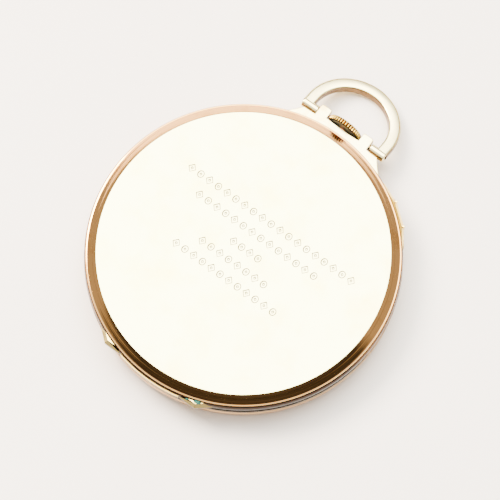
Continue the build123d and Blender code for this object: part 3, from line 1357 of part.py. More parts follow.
# ================================================================ bridges and cocks
with BuildPart() as barrel_bridge:
    with BuildSketch(Plane.XY.offset(BARREL_BRIDGE_Z)) as barrel_bridge_plan:
        Circle(BRIDGE_R)
        with Locations((0, BRIDGE_LOW_Y)):
            Rectangle(3 * PLATE_R, 2 * PLATE_R, align=(Align.CENTER, Align.MAX), mode=Mode.SUBTRACT)
        with Locations((-14.5, -2.0)):
            Circle(11.0, mode=Mode.SUBTRACT)
        with Locations(THIRD):
            Circle(THIRD_SWEEP + ROOM, mode=Mode.SUBTRACT)
    extrude(amount=BRIDGE_THICK)
    chamfer(barrel_bridge.faces().sort_by(Axis.Z)[-1].outer_wire().edges(), length=0.08)
    for pillar in PILLARS:
        stepped(pillar, ((PILLAR_R, PLATE_TOP, BARREL_BRIDGE_Z),))
    # the block that holds the stem's tip
    with BuildSketch(Plane.XY.offset(PLATE_TOP)):
        with Locations((0, clutch_low_y)):
            Rectangle(1.5, 0.75, align=(Align.CENTER, Align.MAX))
    extrude(amount=BARREL_BRIDGE_Z - PLATE_TOP)
    with BuildSketch(Plane.XZ.offset(-clutch_low_y + 2)):
        with Locations((0, STEM_Z)):
            Circle(0.24 + RUN)
    extrude(amount=-3, mode=Mode.SUBTRACT)
    # room for the clutch below and the winding pinion right through
    with BuildSketch(Plane.XY.offset(BARREL_BRIDGE_Z - 0.1)):
        with Locations((0, clutch_low_y)):
            Rectangle(2 * CLUTCH_R + 0.3, PINION_OUT - clutch_low_y, align=(Align.CENTER, Align.MIN))
    extrude(amount=STEM_Z + CLUTCH_R + 0.07 - BARREL_BRIDGE_Z + 0.1, mode=Mode.SUBTRACT)
    with BuildSketch(Plane.XY.offset(BARREL_BRIDGE_Z)):
        with Locations((0, PINION_IN - 0.12)):
            Rectangle(2 * PINION_TIP + 0.3, PINION_OUT - PINION_IN + 0.24, align=(Align.CENTER, Align.MIN))
        with Locations(BARREL):
            Circle(1.1 + RUN)
        with Locations(CENTER):
            Circle(0.7)
        with Locations(PILLARS):
            Circle(SCREW_SHANK)
    extrude(amount=BRIDGE_THICK, mode=Mode.SUBTRACT)
    for pillar in PILLARS:
        with BuildSketch(level(pillar, PLATE_TOP)):
            Circle(SCREW_SHANK)
        extrude(amount=BRIDGE_THICK + 1, mode=Mode.SUBTRACT)
    stepped(CLICK_PIVOT, ((0.35, BARREL_BRIDGE_TOP, WINDING_Z + WINDING_THICK + FIT),))
save(barrel_bridge, "barrel_bridge")

with BuildPart() as train_bridge:
    with BuildSketch(Plane.XY.offset(TRAIN_BRIDGE_Z)):
        for centre, radius in ((THIRD, 1.5), (FOURTH, 1.5), (ESCAPE, 0.7), (TRAIN_FOOT, TRAIN_FOOT_R)):
            with Locations(centre):
                Circle(radius)
        make_hull()
    extrude(amount=TRAIN_BRIDGE_THICK)
    chamfer(train_bridge.faces().sort_by(Axis.Z)[-1].outer_wire().edges(), length=0.1)
    stepped(TRAIN_FOOT, ((TRAIN_FOOT_R, PLATE_TOP, TRAIN_BRIDGE_Z),))
    for point in (THIRD, FOURTH, ESCAPE):
        with BuildSketch(level(point, TRAIN_BRIDGE_Z)):
            Circle(JEWEL_R)
        extrude(amount=TRAIN_BRIDGE_THICK, mode=Mode.SUBTRACT)
    with BuildSketch(level(TRAIN_SCREW, PLATE_TOP)):
        Circle(SCREW_SHANK)
    extrude(amount=TRAIN_BRIDGE_TOP - PLATE_TOP, mode=Mode.SUBTRACT)
save(train_bridge, "train_bridge")

with BuildPart() as pallet_cock:
    with BuildSketch(Plane.XY.offset(PALLET_COCK_Z)):
        for centre, radius in ((PALLET, 0.7), *[(foot, 0.55) for foot in PALLET_FEET]):
            with Locations(centre):
                Circle(radius)
        make_hull()
    extrude(amount=PALLET_COCK_THICK)
    for foot in PALLET_FEET:
        stepped(foot, ((0.55, PLATE_TOP, PALLET_COCK_Z),))
    with BuildSketch(level(PALLET, PALLET_COCK_Z)):
        Circle(0.4)
    extrude(amount=PALLET_COCK_THICK, mode=Mode.SUBTRACT)
save(pallet_cock, "pallet_cock")

with BuildPart() as balance_cock:
    with BuildSketch(Plane.XY.offset(COCK_Z)):
        for centre, radius in ((BALANCE, 1.5), *[(foot, COCK_FOOT_R) for foot in COCK_FEET]):
            with Locations(centre):
                Circle(radius)
        make_hull()
    extrude(amount=COCK_THICK)
    chamfer(balance_cock.faces().sort_by(Axis.Z)[-1].outer_wire().edges(), length=0.1)
    with BuildSketch(Plane.XY.offset(PLATE_TOP)):
        for foot in COCK_FEET:
            with Locations(foot):
                Circle(COCK_FOOT_R)
        make_hull()
    extrude(amount=COCK_Z - PLATE_TOP)
    # the stand that the regulator turns on
    stepped(BALANCE, ((0.85, COCK_TOP, COCK_TOP + 0.16),))
    with BuildSketch(level(BALANCE, COCK_Z)):
        Circle(JEWEL_R)
    extrude(amount=COCK_THICK + 0.3, mode=Mode.SUBTRACT)
    with BuildSketch(level(COCK_SCREW, PLATE_TOP)):
        Circle(SCREW_SHANK)
    extrude(amount=COCK_TOP - PLATE_TOP, mode=Mode.SUBTRACT)
save(balance_cock, "balance_cock")


def screw(point, low, seat, head_r, head_high, turn):
    """Adds a slotted cheese-head screw in the open part."""
    stepped(point, ((SCREW_SHANK, low, seat), (head_r, seat, seat + head_high)))
    plane = Plane(
        origin=(point[0], point[1], seat + head_high / 2),
        x_dir=(cos(radians(turn)), sin(radians(turn)), 0),
        z_dir=(0, 0, 1),
    )
    with BuildSketch(plane) as face:
        Rectangle(2.2 * head_r, 0.2)
    extrude(face.sketch, amount=head_high, mode=Mode.SUBTRACT)


with BuildPart() as bridge_screws:
    for number, pillar in enumerate(PILLARS):
        screw(pillar, PLATE_Z + 0.3, BARREL_BRIDGE_TOP, SCREW_HEAD, 0.25, 40 * number)
    screw(TRAIN_SCREW, PLATE_Z + 0.3, TRAIN_BRIDGE_TOP, SCREW_HEAD, 0.25, 25)
    screw(COCK_SCREW, PLATE_Z + 0.3, COCK_TOP, SCREW_HEAD, 0.25, 70)
save(bridge_screws, "bridge_screws")

with BuildPart() as case_screws:
    for number, point in enumerate(CASE_SCREWS):
        screw(point, PLATE_Z + 0.3, PLATE_TOP + LEDGE_THICK, 1.15, 0.3, 60 * number)
save(case_screws, "case_screws")
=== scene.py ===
"""The looks of an open face pocket watch that lies face down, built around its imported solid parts."""

import json
import logging
from dataclasses import dataclass
from enum import Enum
from math import cos, hypot, pi, radians, sin, sqrt, tan
from typing import Callable, Iterable, Optional, Sequence

import bmesh
import bpy
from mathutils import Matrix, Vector, noise


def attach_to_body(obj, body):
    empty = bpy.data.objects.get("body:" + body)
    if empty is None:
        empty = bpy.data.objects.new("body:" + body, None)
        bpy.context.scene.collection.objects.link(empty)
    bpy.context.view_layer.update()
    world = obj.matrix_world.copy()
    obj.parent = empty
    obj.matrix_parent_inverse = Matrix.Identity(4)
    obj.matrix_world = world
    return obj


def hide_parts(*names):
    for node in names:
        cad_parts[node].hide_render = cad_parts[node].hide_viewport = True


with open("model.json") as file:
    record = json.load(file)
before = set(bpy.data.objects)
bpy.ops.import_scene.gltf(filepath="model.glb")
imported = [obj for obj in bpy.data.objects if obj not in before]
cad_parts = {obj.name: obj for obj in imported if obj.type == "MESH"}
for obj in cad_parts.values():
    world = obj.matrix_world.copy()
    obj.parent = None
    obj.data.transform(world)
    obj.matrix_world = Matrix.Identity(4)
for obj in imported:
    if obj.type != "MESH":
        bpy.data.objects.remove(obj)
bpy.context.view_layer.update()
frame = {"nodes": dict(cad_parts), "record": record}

log = logging.getLogger("watch")

MM = 0.001
# the band's painted dark reflection is put on the side that faces this bearing
DARK_BEARING = 298.0  # the side of the room that stays dark, in degrees from +X
NUMERAL_GAP = 0.006  # how far printed marks stand off the dial
Point = tuple[float, float]
Triple = tuple[float, float, float]


# ---------------------------------------------------------------- colour and shader helpers
def linear(hexcode: str, alpha: float = 1.0) -> tuple[float, float, float, float]:
    """Turns an sRGB hex colour into the linear values that a shader socket takes.

    Args:
        hexcode: Six hex digits, such as "C9986A".
        alpha: The fourth value.

    Returns:
        Red, green, blue and alpha.
    """
    values = []
    for place in (0, 2, 4):
        part = int(hexcode[place:place + 2], 16) / 255
        values.append(part / 12.92 if part <= 0.04045 else ((part + 0.055) / 1.055) ** 2.4)
    return values[0], values[1], values[2], alpha


def per_mm(length_mm: float) -> float:
    """The texture scale whose pattern repeats about once in this many millimetres."""
    return 1.0 / (length_mm * MM)


def add(tree: bpy.types.NodeTree, kind: str, inputs: Optional[dict] = None, **settings) -> bpy.types.Node:
    """Adds one shader node with its settings, constants and links.

    Args:
        tree: The tree that it goes in.
        kind: The node's type, without its leading "ShaderNode".
        inputs: Socket name or number to a constant, or to the output socket it is linked from.
        settings: Attributes of the node.

    Returns:
        The node.
    """
    node = tree.nodes.new("ShaderNode" + kind)
    for key, value in settings.items():
        setattr(node, key, value)
    for key, value in (inputs or {}).items():
        socket = node.inputs[key]
        if isinstance(value, bpy.types.NodeSocket):
            tree.links.new(value, socket)
        else:
            socket.default_value = value
    return node


def blank(name: str) -> tuple[bpy.types.Material, bpy.types.NodeTree]:
    """A new material with an empty node tree."""
    material = bpy.data.materials.new(name)
    material.use_nodes = True
    material.node_tree.nodes.clear()
    return material, material.node_tree


def close(tree: bpy.types.NodeTree, shader: bpy.types.NodeSocket) -> None:
    """Sends a shader to the material's surface."""
    add(tree, "OutputMaterial", {"Surface": shader})


def place(tree: bpy.types.NodeTree, scale: float, stretch: Triple = (1.0, 1.0, 1.0)) -> bpy.types.NodeSocket:
    """Object coordinates, scaled, which the patterns hang on."""
    coordinates = add(tree, "TexCoord")
    size = (scale * stretch[0], scale * stretch[1], scale * stretch[2])
    return add(tree, "Mapping", {"Vector": coordinates.outputs["Object"], "Scale": size}).outputs["Vector"]


def blend_colors(tree: bpy.types.NodeTree, share, first, second) -> bpy.types.NodeSocket:
    """Mixes two colours, constants or sockets, by a share."""
    mixed = add(tree, "Mix", {0: share, 6: first, 7: second}, data_type="RGBA")
    return mixed.outputs[2]


def span(tree: bpy.types.NodeTree, value, low: float, high: float, to_low: float, to_high: float):
    """Maps a value's range onto another one, and holds it there."""
    inputs = {0: value, 1: low, 2: high, 3: to_low, 4: to_high}
    return add(tree, "MapRange", inputs, clamp=True).outputs[0]


def multiply(tree: bpy.types.NodeTree, first, second) -> bpy.types.NodeSocket:
    """The product of two sockets."""
    return add(tree, "Math", {0: first, 1: second}, operation="MULTIPLY").outputs[0]


def heading(bearing: float) -> Vector:
    """The level direction at a bearing in degrees from +X."""
    return Vector((cos(radians(bearing)), sin(radians(bearing)), 0.0))


class Lines(Enum):
    """Which way the fine tool marks run on a metal surface."""

    TURNED_Z = "Z"
    TURNED_Y = "Y"
    TURNED_X = "X"
    NONE = "none"


# ---------------------------------------------------------------- finishes
@dataclass(frozen=True)
class GoldPlate:
    """Gold plate over brass, turned and then buffed: bright, with faint tool lines and worn toning."""

    name: str
    bright: str  # sRGB hex of the clean plate
    toned: str  # sRGB hex where skin oils have warmed it, and the deeper colour of the walls' painted shade
    roughness: float = 0.14
    toning: float = 0.5  # the share of the surface that the toning reaches
    patch_mm: float = 5.0
    lines: Lines = Lines.TURNED_Z
    line_mm: float = 0.12
    line_strength: float = 0.12
    dull_side: float = 0.0  # how strongly a painted dark reflection darkens the lower left side, from 0 to 1

    def build(self) -> bpy.types.Material:
        """Builds the material."""
        material, tree = blank(self.name)
        patches = add(
            tree, "TexNoise",
            {"Vector": place(tree, per_mm(self.patch_mm)), "Scale": 1.0, "Detail": 6.0, "Roughness": 0.62},
        )
        share = span(tree, patches.outputs[0], 0.72 - 0.35 * self.toning, 0.82, 0.0, 1.0)
        grime = add(
            tree, "TexNoise",
            {"Vector": place(tree, per_mm(0.55)), "Scale": 1.0, "Detail": 4.0, "Roughness": 0.7},
        )
        speck = span(tree, grime.outputs[0], 0.66, 0.74, 0.0, 0.35)
        color = blend_colors(tree, share, linear(self.bright), linear(self.toned))
        color = blend_colors(tree, speck, color, linear("7A5A34"))
        # painted dark reflection: on the side that faces DARK_BEARING the colour is mixed towards near-black
        # brown
        if self.dull_side:
            coordinates = add(tree, "TexCoord").outputs["Object"]
            outward = add(tree, "VectorMath", {0: coordinates}, operation="NORMALIZE").outputs[0]
            facing = add(
                tree, "VectorMath", {0: outward, 1: heading(DARK_BEARING)}, operation="DOT_PRODUCT",
            ).outputs["Value"]
            reflection_share = span(tree, facing, 0.48, 0.62, 0.0, self.dull_side)
            color = blend_colors(tree, reflection_share, color, linear("1C1008"))
        rubbed = span(tree, patches.outputs[0], 0.3, 0.75, self.roughness * 0.75, self.roughness * 1.7)
        scratches = add(
            tree, "TexNoise",
            {"Vector": place(tree, per_mm(0.16), (0.06, 1.0, 1.0)), "Scale": 1.0, "Detail": 2.0},
        )
        bump = add(
            tree, "Bump",
            {"Height": scratches.outputs[0], "Strength": 0.035, "Distance": 0.02 * MM},
        )
        if self.lines is not Lines.NONE:
            # a wave texture repeats about every 0.314 of its own units
            rings = add(
                tree, "TexWave",
                {"Vector": place(tree, 0.314 * per_mm(self.line_mm)), "Scale": 1.0, "Distortion": 0.0},
                wave_type="RINGS", rings_direction=self.lines.value,
            )
            bump = add(
                tree, "Bump",
                {
                    "Height": rings.outputs["Fac"], "Strength": self.line_strength,
                    "Distance": 0.01 * MM, "Normal": bump.outputs[0],
                },
            )
        surface = add(
            tree, "BsdfPrincipled",
            {"Base Color": color, "Metallic": 1.0, "Roughness": rubbed, "Normal": bump.outputs[0]},
        )
        close(tree, surface.outputs[0])
        return material


@dataclass(frozen=True)
class StripedNickel:
    """Nickel-plated brass with broad ground stripes, the usual finish of bridges and cocks."""

    name: str = "ground_striped_nickel"
    tint: str = "D8D4CC"
    stripe_mm: float = 1.6

    def build(self) -> bpy.types.Material:
        """Builds the material."""
        material, tree = blank(self.name)
        stripes = add(
            tree, "TexWave",
            {"Vector": place(tree, 0.314 * per_mm(self.stripe_mm)), "Scale": 1.0},
            wave_type="BANDS", bands_direction="DIAGONAL", wave_profile="SAW",
        )
        grain = add(
            tree, "TexNoise",
            {"Vector": place(tree, per_mm(0.3)), "Scale": 1.0, "Detail": 5.0},
        )
        color = blend_colors(
            tree, span(tree, stripes.outputs["Fac"], 0.0, 1.0, 0.0, 0.6), linear(self.tint), linear("A9A49A")
        )
        height = add(tree, "Math", {0: stripes.outputs["Fac"], 1: grain.outputs[0]}, operation="ADD")
        bump = add(tree, "Bump", {"Height": height.outputs[0], "Strength": 0.25, "Distance": 0.02 * MM})
        surface = add(
            tree, "BsdfPrincipled",
            {
                "Base Color": color, "Metallic": 1.0, "Normal": bump.outputs[0],
                "Roughness": span(tree, grain.outputs[0], 0.3, 0.7, 0.2, 0.34),
            },
        )
        close(tree, surface.outputs[0])
        return material


@dataclass(frozen=True)
class WorkedMetal:
    """A small movement piece's metal: stamped or cut, then grained or polished."""

    name: str
    tint: str
    shade: str
    roughness: float
    grain_mm: float = 0.2
    grain_strength: float = 0.12

    def build(self) -> bpy.types.Material:
        """Builds the material."""
        material, tree = blank(self.name)
        grain = add(
            tree, "TexNoise",
            {"Vector": place(tree, per_mm(self.grain_mm), (1.0, 0.12, 1.0)), "Scale": 1.0, "Detail": 4.0},
        )
        clouds = add(
            tree, "TexNoise",
            {"Vector": place(tree, per_mm(1.8)), "Scale": 1.0, "Detail": 3.0},
        )
        color = blend_colors(
            tree, span(tree, clouds.outputs[0], 0.4, 0.7, 0.0, 0.7), linear(self.tint), linear(self.shade)
        )
        bump = add(
            tree, "Bump",
            {"Height": grain.outputs[0], "Strength": self.grain_strength, "Distance": 0.01 * MM},
        )
        rough = span(tree, clouds.outputs[0], 0.3, 0.7, self.roughness * 0.8, self.roughness * 1.25)
        surface = add(
            tree, "BsdfPrincipled",
            {"Base Color": color, "Metallic": 1.0, "Roughness": rough, "Normal": bump.outputs[0]},
        )
        close(tree, surface.outputs[0])
        return material


@dataclass(frozen=True)
class Jewel:
    """Polished synthetic ruby: deep red with a wet gloss."""

    name: str = "polished_ruby"

    def build(self) -> bpy.types.Material:
        """Builds the material."""
        material, tree = blank(self.name)
        cloud = add(tree, "TexNoise", {"Vector": place(tree, per_mm(0.4)), "Scale": 1.0, "Detail": 2.0})
        color = blend_colors(
            tree, span(tree, cloud.outputs[0], 0.35, 0.7, 0.0, 1.0), linear("A80F2C"), linear("D8365A")
        )
        surface = add(
            tree, "BsdfPrincipled",
            {
                "Base Color": color, "Roughness": 0.05, "Transmission Weight": 0.35,
                "Coat Weight": 0.6, "Coat Roughness": 0.03,
            },
        )
        close(tree, surface.outputs[0])
        return material


@dataclass(frozen=True)
class WatchGlass:
    """A ground and polished flat mineral glass, with a few hairline scratches."""

    name: str = "polished_mineral_glass"

    def build(self) -> bpy.types.Material:
        """Builds the material."""
        material, tree = blank(self.name)
        hairs = add(
            tree, "TexNoise",
            {"Vector": place(tree, per_mm(0.5), (1.0, 0.05, 1.0)), "Scale": 1.0, "Detail": 3.0},
        )
        surface = add(
            tree, "BsdfPrincipled",
            {
                "Base Color": linear("F6FBFA"), "Transmission Weight": 1.0, "IOR": 1.5,
                "Roughness": span(tree, hairs.outputs[0], 0.62, 0.75, 0.0, 0.08),
            },
        )
        close(tree, surface.outputs[0])
        return material


@dataclass(frozen=True)
class DialPaint:
    """A matt painted dial of the period, silvered and faintly mottled with age."""

    name: str = "aged_silvered_paint"
    tint: str = "E9E4D6"
    shade: str = "D6CBB2"

    def build(self) -> bpy.types.Material:
        """Builds the material."""
        material, tree = blank(self.name)
        clouds = add(tree, "TexNoise", {"Vector": place(tree, per_mm(3.0)), "Scale": 1.0, "Detail": 7.0})
        grain = add(tree, "TexNoise", {"Vector": place(tree, per_mm(0.08)), "Scale": 1.0, "Detail": 2.0})
        color = blend_colors(
            tree, span(tree, clouds.outputs[0], 0.42, 0.7, 0.0, 1.0), linear(self.tint), linear(self.shade)
        )
        bump = add(tree, "Bump", {"Height": grain.outputs[0], "Strength": 0.2, "Distance": 0.004 * MM})
        surface = add(
            tree, "BsdfPrincipled",
            {"Base Color": color, "Metallic": 0.25, "Roughness": 0.42, "Normal": bump.outputs[0]},
        )
        close(tree, surface.outputs[0])
        return material


@dataclass(frozen=True)
class PrintedInk:
    """Printed black enamel ink, as the numerals and the tracks of the dial are."""

    name: str = "printed_black_ink"

    def build(self) -> bpy.types.Material:
        """Builds the material."""
        material, tree = blank(self.name)
        wear = add(tree, "TexNoise", {"Vector": place(tree, per_mm(0.3)), "Scale": 1.0, "Detail": 3.0})
        color = blend_colors(
            tree, span(tree, wear.outputs[0], 0.5, 0.75, 0.0, 1.0), linear("15130F"), linear("37322A")
        )
        surface = add(tree, "BsdfPrincipled", {"Base Color": color, "Roughness": 0.35})
        close(tree, surface.outputs[0])
        return material


@dataclass(frozen=True)
class Verdigris:
    """Green copper corrosion where the plate has worn through: a matt, crumbly crust."""

    name: str = "crumbly_verdigris"

    def build(self) -> bpy.types.Material:
        """Builds the material."""
        material, tree = blank(self.name)
        crumbs = add(tree, "TexNoise", {"Vector": place(tree, per_mm(0.14)), "Scale": 1.0, "Detail": 5.0})
        color = blend_colors(
            tree, span(tree, crumbs.outputs[0], 0.35, 0.68, 0.0, 1.0), linear("123C34"), linear("2A6E5C")
        )
        bump = add(tree, "Bump", {"Height": crumbs.outputs[0], "Strength": 0.8, "Distance": 0.05 * MM})
        surface = add(
            tree, "BsdfPrincipled", {"Base Color": color, "Roughness": 0.85, "Normal": bump.outputs[0]},
        )
        close(tree, surface.outputs[0])
        return material


@dataclass(frozen=True)
class Tabletop:
    """A plain off-white painted surface, with a grain that only shows close to."""

    name: str = "matt_painted_table"
    tint: str = "F5EDE4"

    def build(self) -> bpy.types.Material:
        """Builds the material."""
        material, tree = blank(self.name)
        clouds = add(tree, "TexNoise", {"Vector": place(tree, per_mm(60.0)), "Scale": 1.0, "Detail": 3.0})
        grain = add(tree, "TexNoise", {"Vector": place(tree, per_mm(0.7)), "Scale": 1.0, "Detail": 3.0})
        color = blend_colors(
            tree, span(tree, clouds.outputs[0], 0.35, 0.7, 0.0, 1.0), linear(self.tint), linear("F1E7DE")
        )
        bump = add(tree, "Bump", {"Height": grain.outputs[0], "Strength": 0.12, "Distance": 0.05 * MM})
        surface = add(
            tree, "BsdfPrincipled",
            {"Base Color": color, "Roughness": 0.55, "Normal": bump.outputs[0]},
        )
        close(tree, surface.outputs[0])
        return material


# ---------------------------------------------------------------- mesh helpers
def rounded(points: Sequence[Triple], steps: int = 5, closed: bool = True) -> list[Point]:
    """Rounds the corners of an outline.

    Args:
        points: Corners, each with the radius that it is rounded to.
        steps: How many pieces each rounding has.
        closed: Whether the last corner joins the first.

    Returns:
        The outline's points.
    """
    count = len(points)
    result: list[Point] = []
    for i, (x, y, radius) in enumerate(points):
        if radius <= 0 or (not closed and i in (0, count - 1)):
            result.append((x, y))
            continue
        px, py, _ = points[i - 1]
        nx, ny, _ = points[(i + 1) % count]
        before = Vector((px - x, py - y))
        after = Vector((nx - x, ny - y))
        angle = before.angle(after)
        back = min(radius / tan(angle / 2), before.length * 0.49, after.length * 0.49)
        start = Vector((x, y)) + before.normalized() * back
        end = Vector((x, y)) + after.normalized() * back
        for step in range(steps + 1):
            t = step / steps
            spot = start * (1 - t) ** 2 + Vector((x, y)) * 2 * t * (1 - t) + end * t * t
            result.append((spot.x, spot.y))
    return result


def crisp(item: bpy.types.Object) -> bpy.types.Object:
    """Lets the large flat faces set the shading, so that roundings stay narrow."""
    weighted = item.modifiers.new("weighted", "WEIGHTED_NORMAL")
    weighted.keep_sharp = True
    weighted.weight = 90
    return item


def dress_where(item: bpy.types.Object, finish: Optional[bpy.types.Material],
                test: Callable[[Vector, Vector], bool]) -> None:
    """Gives some faces of a piece a finish of their own.

    Args:
        item: The piece.
        finish: Those faces' finish, or None to leave the piece as it is.
        test: Takes a face's centre (millimetres) and its normal, and says whether it is one of them.
    """
    if finish is None:
        return
    item.data.materials.append(finish)
    place_in = len(item.data.materials) - 1
    for polygon in item.data.polygons:
        if test(polygon.center / MM, polygon.normal):
            polygon.material_index = place_in


def is_wall(_centre: Vector, normal: Vector) -> bool:
    """Whether a face stands nearly upright; those faces get a darker gold, a painted shade."""
    return abs(normal.z) < 0.6


def make(name: str, vertices: Iterable[Triple], faces: Iterable[Sequence[int]], finish: bpy.types.Material,
         sharp: float = 40.0) -> bpy.types.Object:
    """Makes an object from points in millimetres.

    Args:
        name: The object's name.
        vertices: Its points.
        faces: Its faces, as point numbers.
        finish: Its material.
        sharp: Edges that turn more than this many degrees stay sharp.

    Returns:
        The object.
    """
    mesh = bpy.data.meshes.new(name)
    mesh.from_pydata([(x * MM, y * MM, z * MM) for x, y, z in vertices], [], list(faces))
    work = bmesh.new()
    work.from_mesh(mesh)
    bmesh.ops.recalc_face_normals(work, faces=work.faces)
    work.to_mesh(mesh)
    work.free()
    for polygon in mesh.polygons:
        polygon.use_smooth = True
    mesh.set_sharp_from_angle(angle=radians(sharp))
    mesh.materials.append(finish)
    item = bpy.data.objects.new(name, mesh)
    bpy.context.scene.collection.objects.link(item)
    return crisp(item)


def lathe(name: str, profile: Sequence[Point], finish: bpy.types.Material, segments: int = 288,
          closed: bool = True, axis: str = "Z", at: Triple = (0.0, 0.0, 0.0), flutes: int = 0,
          flute_depth: float = 0.0, flute_zone: Point = (0.0, 0.0), sharp: float = 40.0) -> bpy.types.Object:
    """Turns a profile round an axis.

    Args:
        name: The object's name.
        profile: Points (radius, height along the axis), in millimetres.
        finish: Its material.
        segments: How many pieces a full turn has.
        closed: Whether the profile's last point joins its first.
        axis: "Z", "Y" or "X".
        at: Where the axis's zero is, in millimetres.
        flutes: How many flutes a knurl has.
        flute_depth: How deep they are.
        flute_zone: They only cut what lies outside the first radius, fading in up to the second.
        sharp: Edges that turn more than this many degrees stay sharp.

    Returns:
        The object.
    """
    rows: list[list[int]] = []
    vertices: list[Triple] = []
    for radius, height in profile:
        row = []
        steps = 1 if radius < 1e-6 else segments
        for k in range(steps):
            angle = 2 * pi * k / steps
            r = radius
            if flutes and radius > flute_zone[0]:
                fade = min(1.0, (radius - flute_zone[0]) / (flute_zone[1] - flute_zone[0]))
                wave = abs(sin(angle * flutes / 2))
                r = radius - flute_depth * fade * (1 - wave) ** 1.1
            a, b = r * cos(angle), r * sin(angle)
            spot = {"Z": (a, b, height), "Y": (a, height, b), "X": (height, a, b)}[axis]
            row.append(len(vertices))
            vertices.append((spot[0] + at[0], spot[1] + at[1], spot[2] + at[2]))
        rows.append(row)
    faces = []
    pairs = list(zip(rows, rows[1:] + rows[:1])) if closed else list(zip(rows, rows[1:]))
    for low, high in pairs:
        if len(low) == 1 and len(high) == 1:
            continue
        for k in range(segments):
            j = (k + 1) % segments
            if len(low) == 1:
                faces.append((low[0], high[k], high[j]))
            elif len(high) == 1:
                faces.append((low[k], low[j], high[0]))
            else:
                faces.append((low[k], low[j], high[j], high[k]))
    return make(name, vertices, faces, finish, sharp)


def prism(name: str, outline: Sequence[Point], low: float, high: float, finish: bpy.types.Material,
          edge: float = 0.12, steps: int = 3, walls: Optional[bpy.types.Material] = None) -> bpy.types.Object:
    """Raises an upright block from a plan outline, with its top and bottom edges rounded.

    Args:
        name: The object's name.
        outline: Plan points in order, in millimetres.
        low: Its underside.
        high: Its top.
        finish: Its material.
        edge: How far its edges are rounded.
        steps: How many pieces the rounding has.
        walls: The finish of its upright walls, if they have their own.

    Returns:
        The object.
    """
    mesh = bpy.data.meshes.new(name)
    work = bmesh.new()
    corners = [work.verts.new((x * MM, y * MM, low * MM)) for x, y in outline]
    base = work.faces.new(corners)
    risen = bmesh.ops.extrude_face_region(work, geom=[base])
    top = [e for e in risen["geom"] if isinstance(e, bmesh.types.BMVert)]
    bmesh.ops.translate(work, verts=top, vec=(0, 0, (high - low) * MM))
    bmesh.ops.recalc_face_normals(work, faces=work.faces)
    rims = [e for e in work.edges if abs(e.verts[0].co.z - e.verts[1].co.z) < 1e-9]
    bmesh.ops.bevel(work, geom=rims, offset=edge * MM, segments=steps, profile=0.5, affect="EDGES")
    work.to_mesh(mesh)
    work.free()
    for polygon in mesh.polygons:
        polygon.use_smooth = True
    mesh.set_sharp_from_angle(angle=radians(35))
    mesh.materials.append(finish)
    item = bpy.data.objects.new(name, mesh)
    bpy.context.scene.collection.objects.link(item)
    dress_where(item, walls, is_wall)
    return crisp(item)


def ribbon(path: Sequence[Point], width: float, z: float) -> tuple[list[Triple], list[tuple[int, ...]]]:
    """A flat strip along a plan path.

    Args:
        path: The strip's middle line, in millimetres.
        width: Its width where it is widest.
        z: Its height.

    Returns:
        Its points and faces.
    """
    vertices: list[Triple] = []
    faces = []
    for i, (x, y) in enumerate(path):
        ax, ay = path[max(i - 1, 0)]
        bx, by = path[min(i + 1, len(path) - 1)]
        length = hypot(bx - ax, by - ay) or 1.0
        nx, ny = -(by - ay) / length, (bx - ax) / length
        # a graver's cut swells on the way down and thins on the way up
        half = width / 2 * (0.72 + 0.28 * max(0.0, -(by - ay) / length))
        vertices.append((x + nx * half, y + ny * half, z))
        vertices.append((x - nx * half, y - ny * half, z))
        if i:
            j = 2 * i
            faces.append((j - 2, j - 1, j + 1, j))
    return vertices, faces


def polar(radius: float, angle: float) -> Point:
    """The plan point at this radius, and this angle in degrees from +X."""
    return radius * cos(radians(angle)), radius * sin(radians(angle))


def attach(item: bpy.types.Object, body: str, slot: str, *nodes: str) -> bpy.types.Object:
    """Puts a piece on a body and hides what it stands for."""
    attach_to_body(item, body)
    if nodes:
        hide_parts(*nodes)
    return item


# ---------------------------------------------------------------- finishes in use
GOLD_BACK = GoldPlate("buffed_gold_back", "F9F2B6", "F2E68A", 0.16, 0.72, 5.5, Lines.NONE)
GOLD_RING = GoldPlate("turned_rose_gold_ring", "DAA562", "BA823E", 0.08, 0.5, 4.0, Lines.TURNED_Z, 0.2, 0.16)
# its last value puts the painted dark reflection on the band's lower left side
GOLD_BAND = GoldPlate(
    "turned_gold_band", "8C6232", "5E3F1E", 0.14, 0.75, 2.6, Lines.TURNED_Z, 0.2, 0.15, 0.96,
)
GOLD_BEZEL = GoldPlate("buffed_champagne_bezel", "C09860", "9A7240", 0.12, 0.5, 4.0, Lines.TURNED_Z, 0.2, 0.1)
GOLD_PENDANT = GoldPlate("cast_gold_pendant", "FBEDB2", "E0BC60", 0.15, 0.7, 1.6, Lines.NONE)
GOLD_FINS = GoldPlate("cut_yellow_gold_fins", "FBE08C", "D9A850", 0.12, 0.4, 2.0, Lines.NONE)
GOLD_BOW = GoldPlate("drawn_gold_bow", "FBEBAE", "D8B05C", 0.12, 0.45, 2.2, Lines.NONE)
GOLD_CROWN = GoldPlate("knurled_gold_crown", "CFA644", "86652A", 0.16, 0.6, 1.2, Lines.TURNED_Y, 0.12, 0.1)
# painted shade: upright walls are coloured a dark brown gold
WALL_SHADE = GoldPlate("gold_walls_painted_shade", "6A5030", "48341C", 0.2, 0.6, 1.8, Lines.NONE)
# the side lip's top faces are a darker yellow gold than its edges
LIP_TOP_GOLD = GoldPlate("dark_yellow_gold_lip_top", "6A5014", "4C360C", 0.16, 0.7, 0.9, Lines.NONE)
# the up-facing shoulder of the band by the joint is near-black brown, and its last value adds the painted
# dark reflection on the lower left side
SHOULDER_DARK_REFLECTION = GoldPlate(
    "shoulder_gold_painted_dark", "4C3014", "36200C", 0.18, 0.6, 2.2, Lines.TURNED_Z, 0.2, 0.12, 0.96,
)
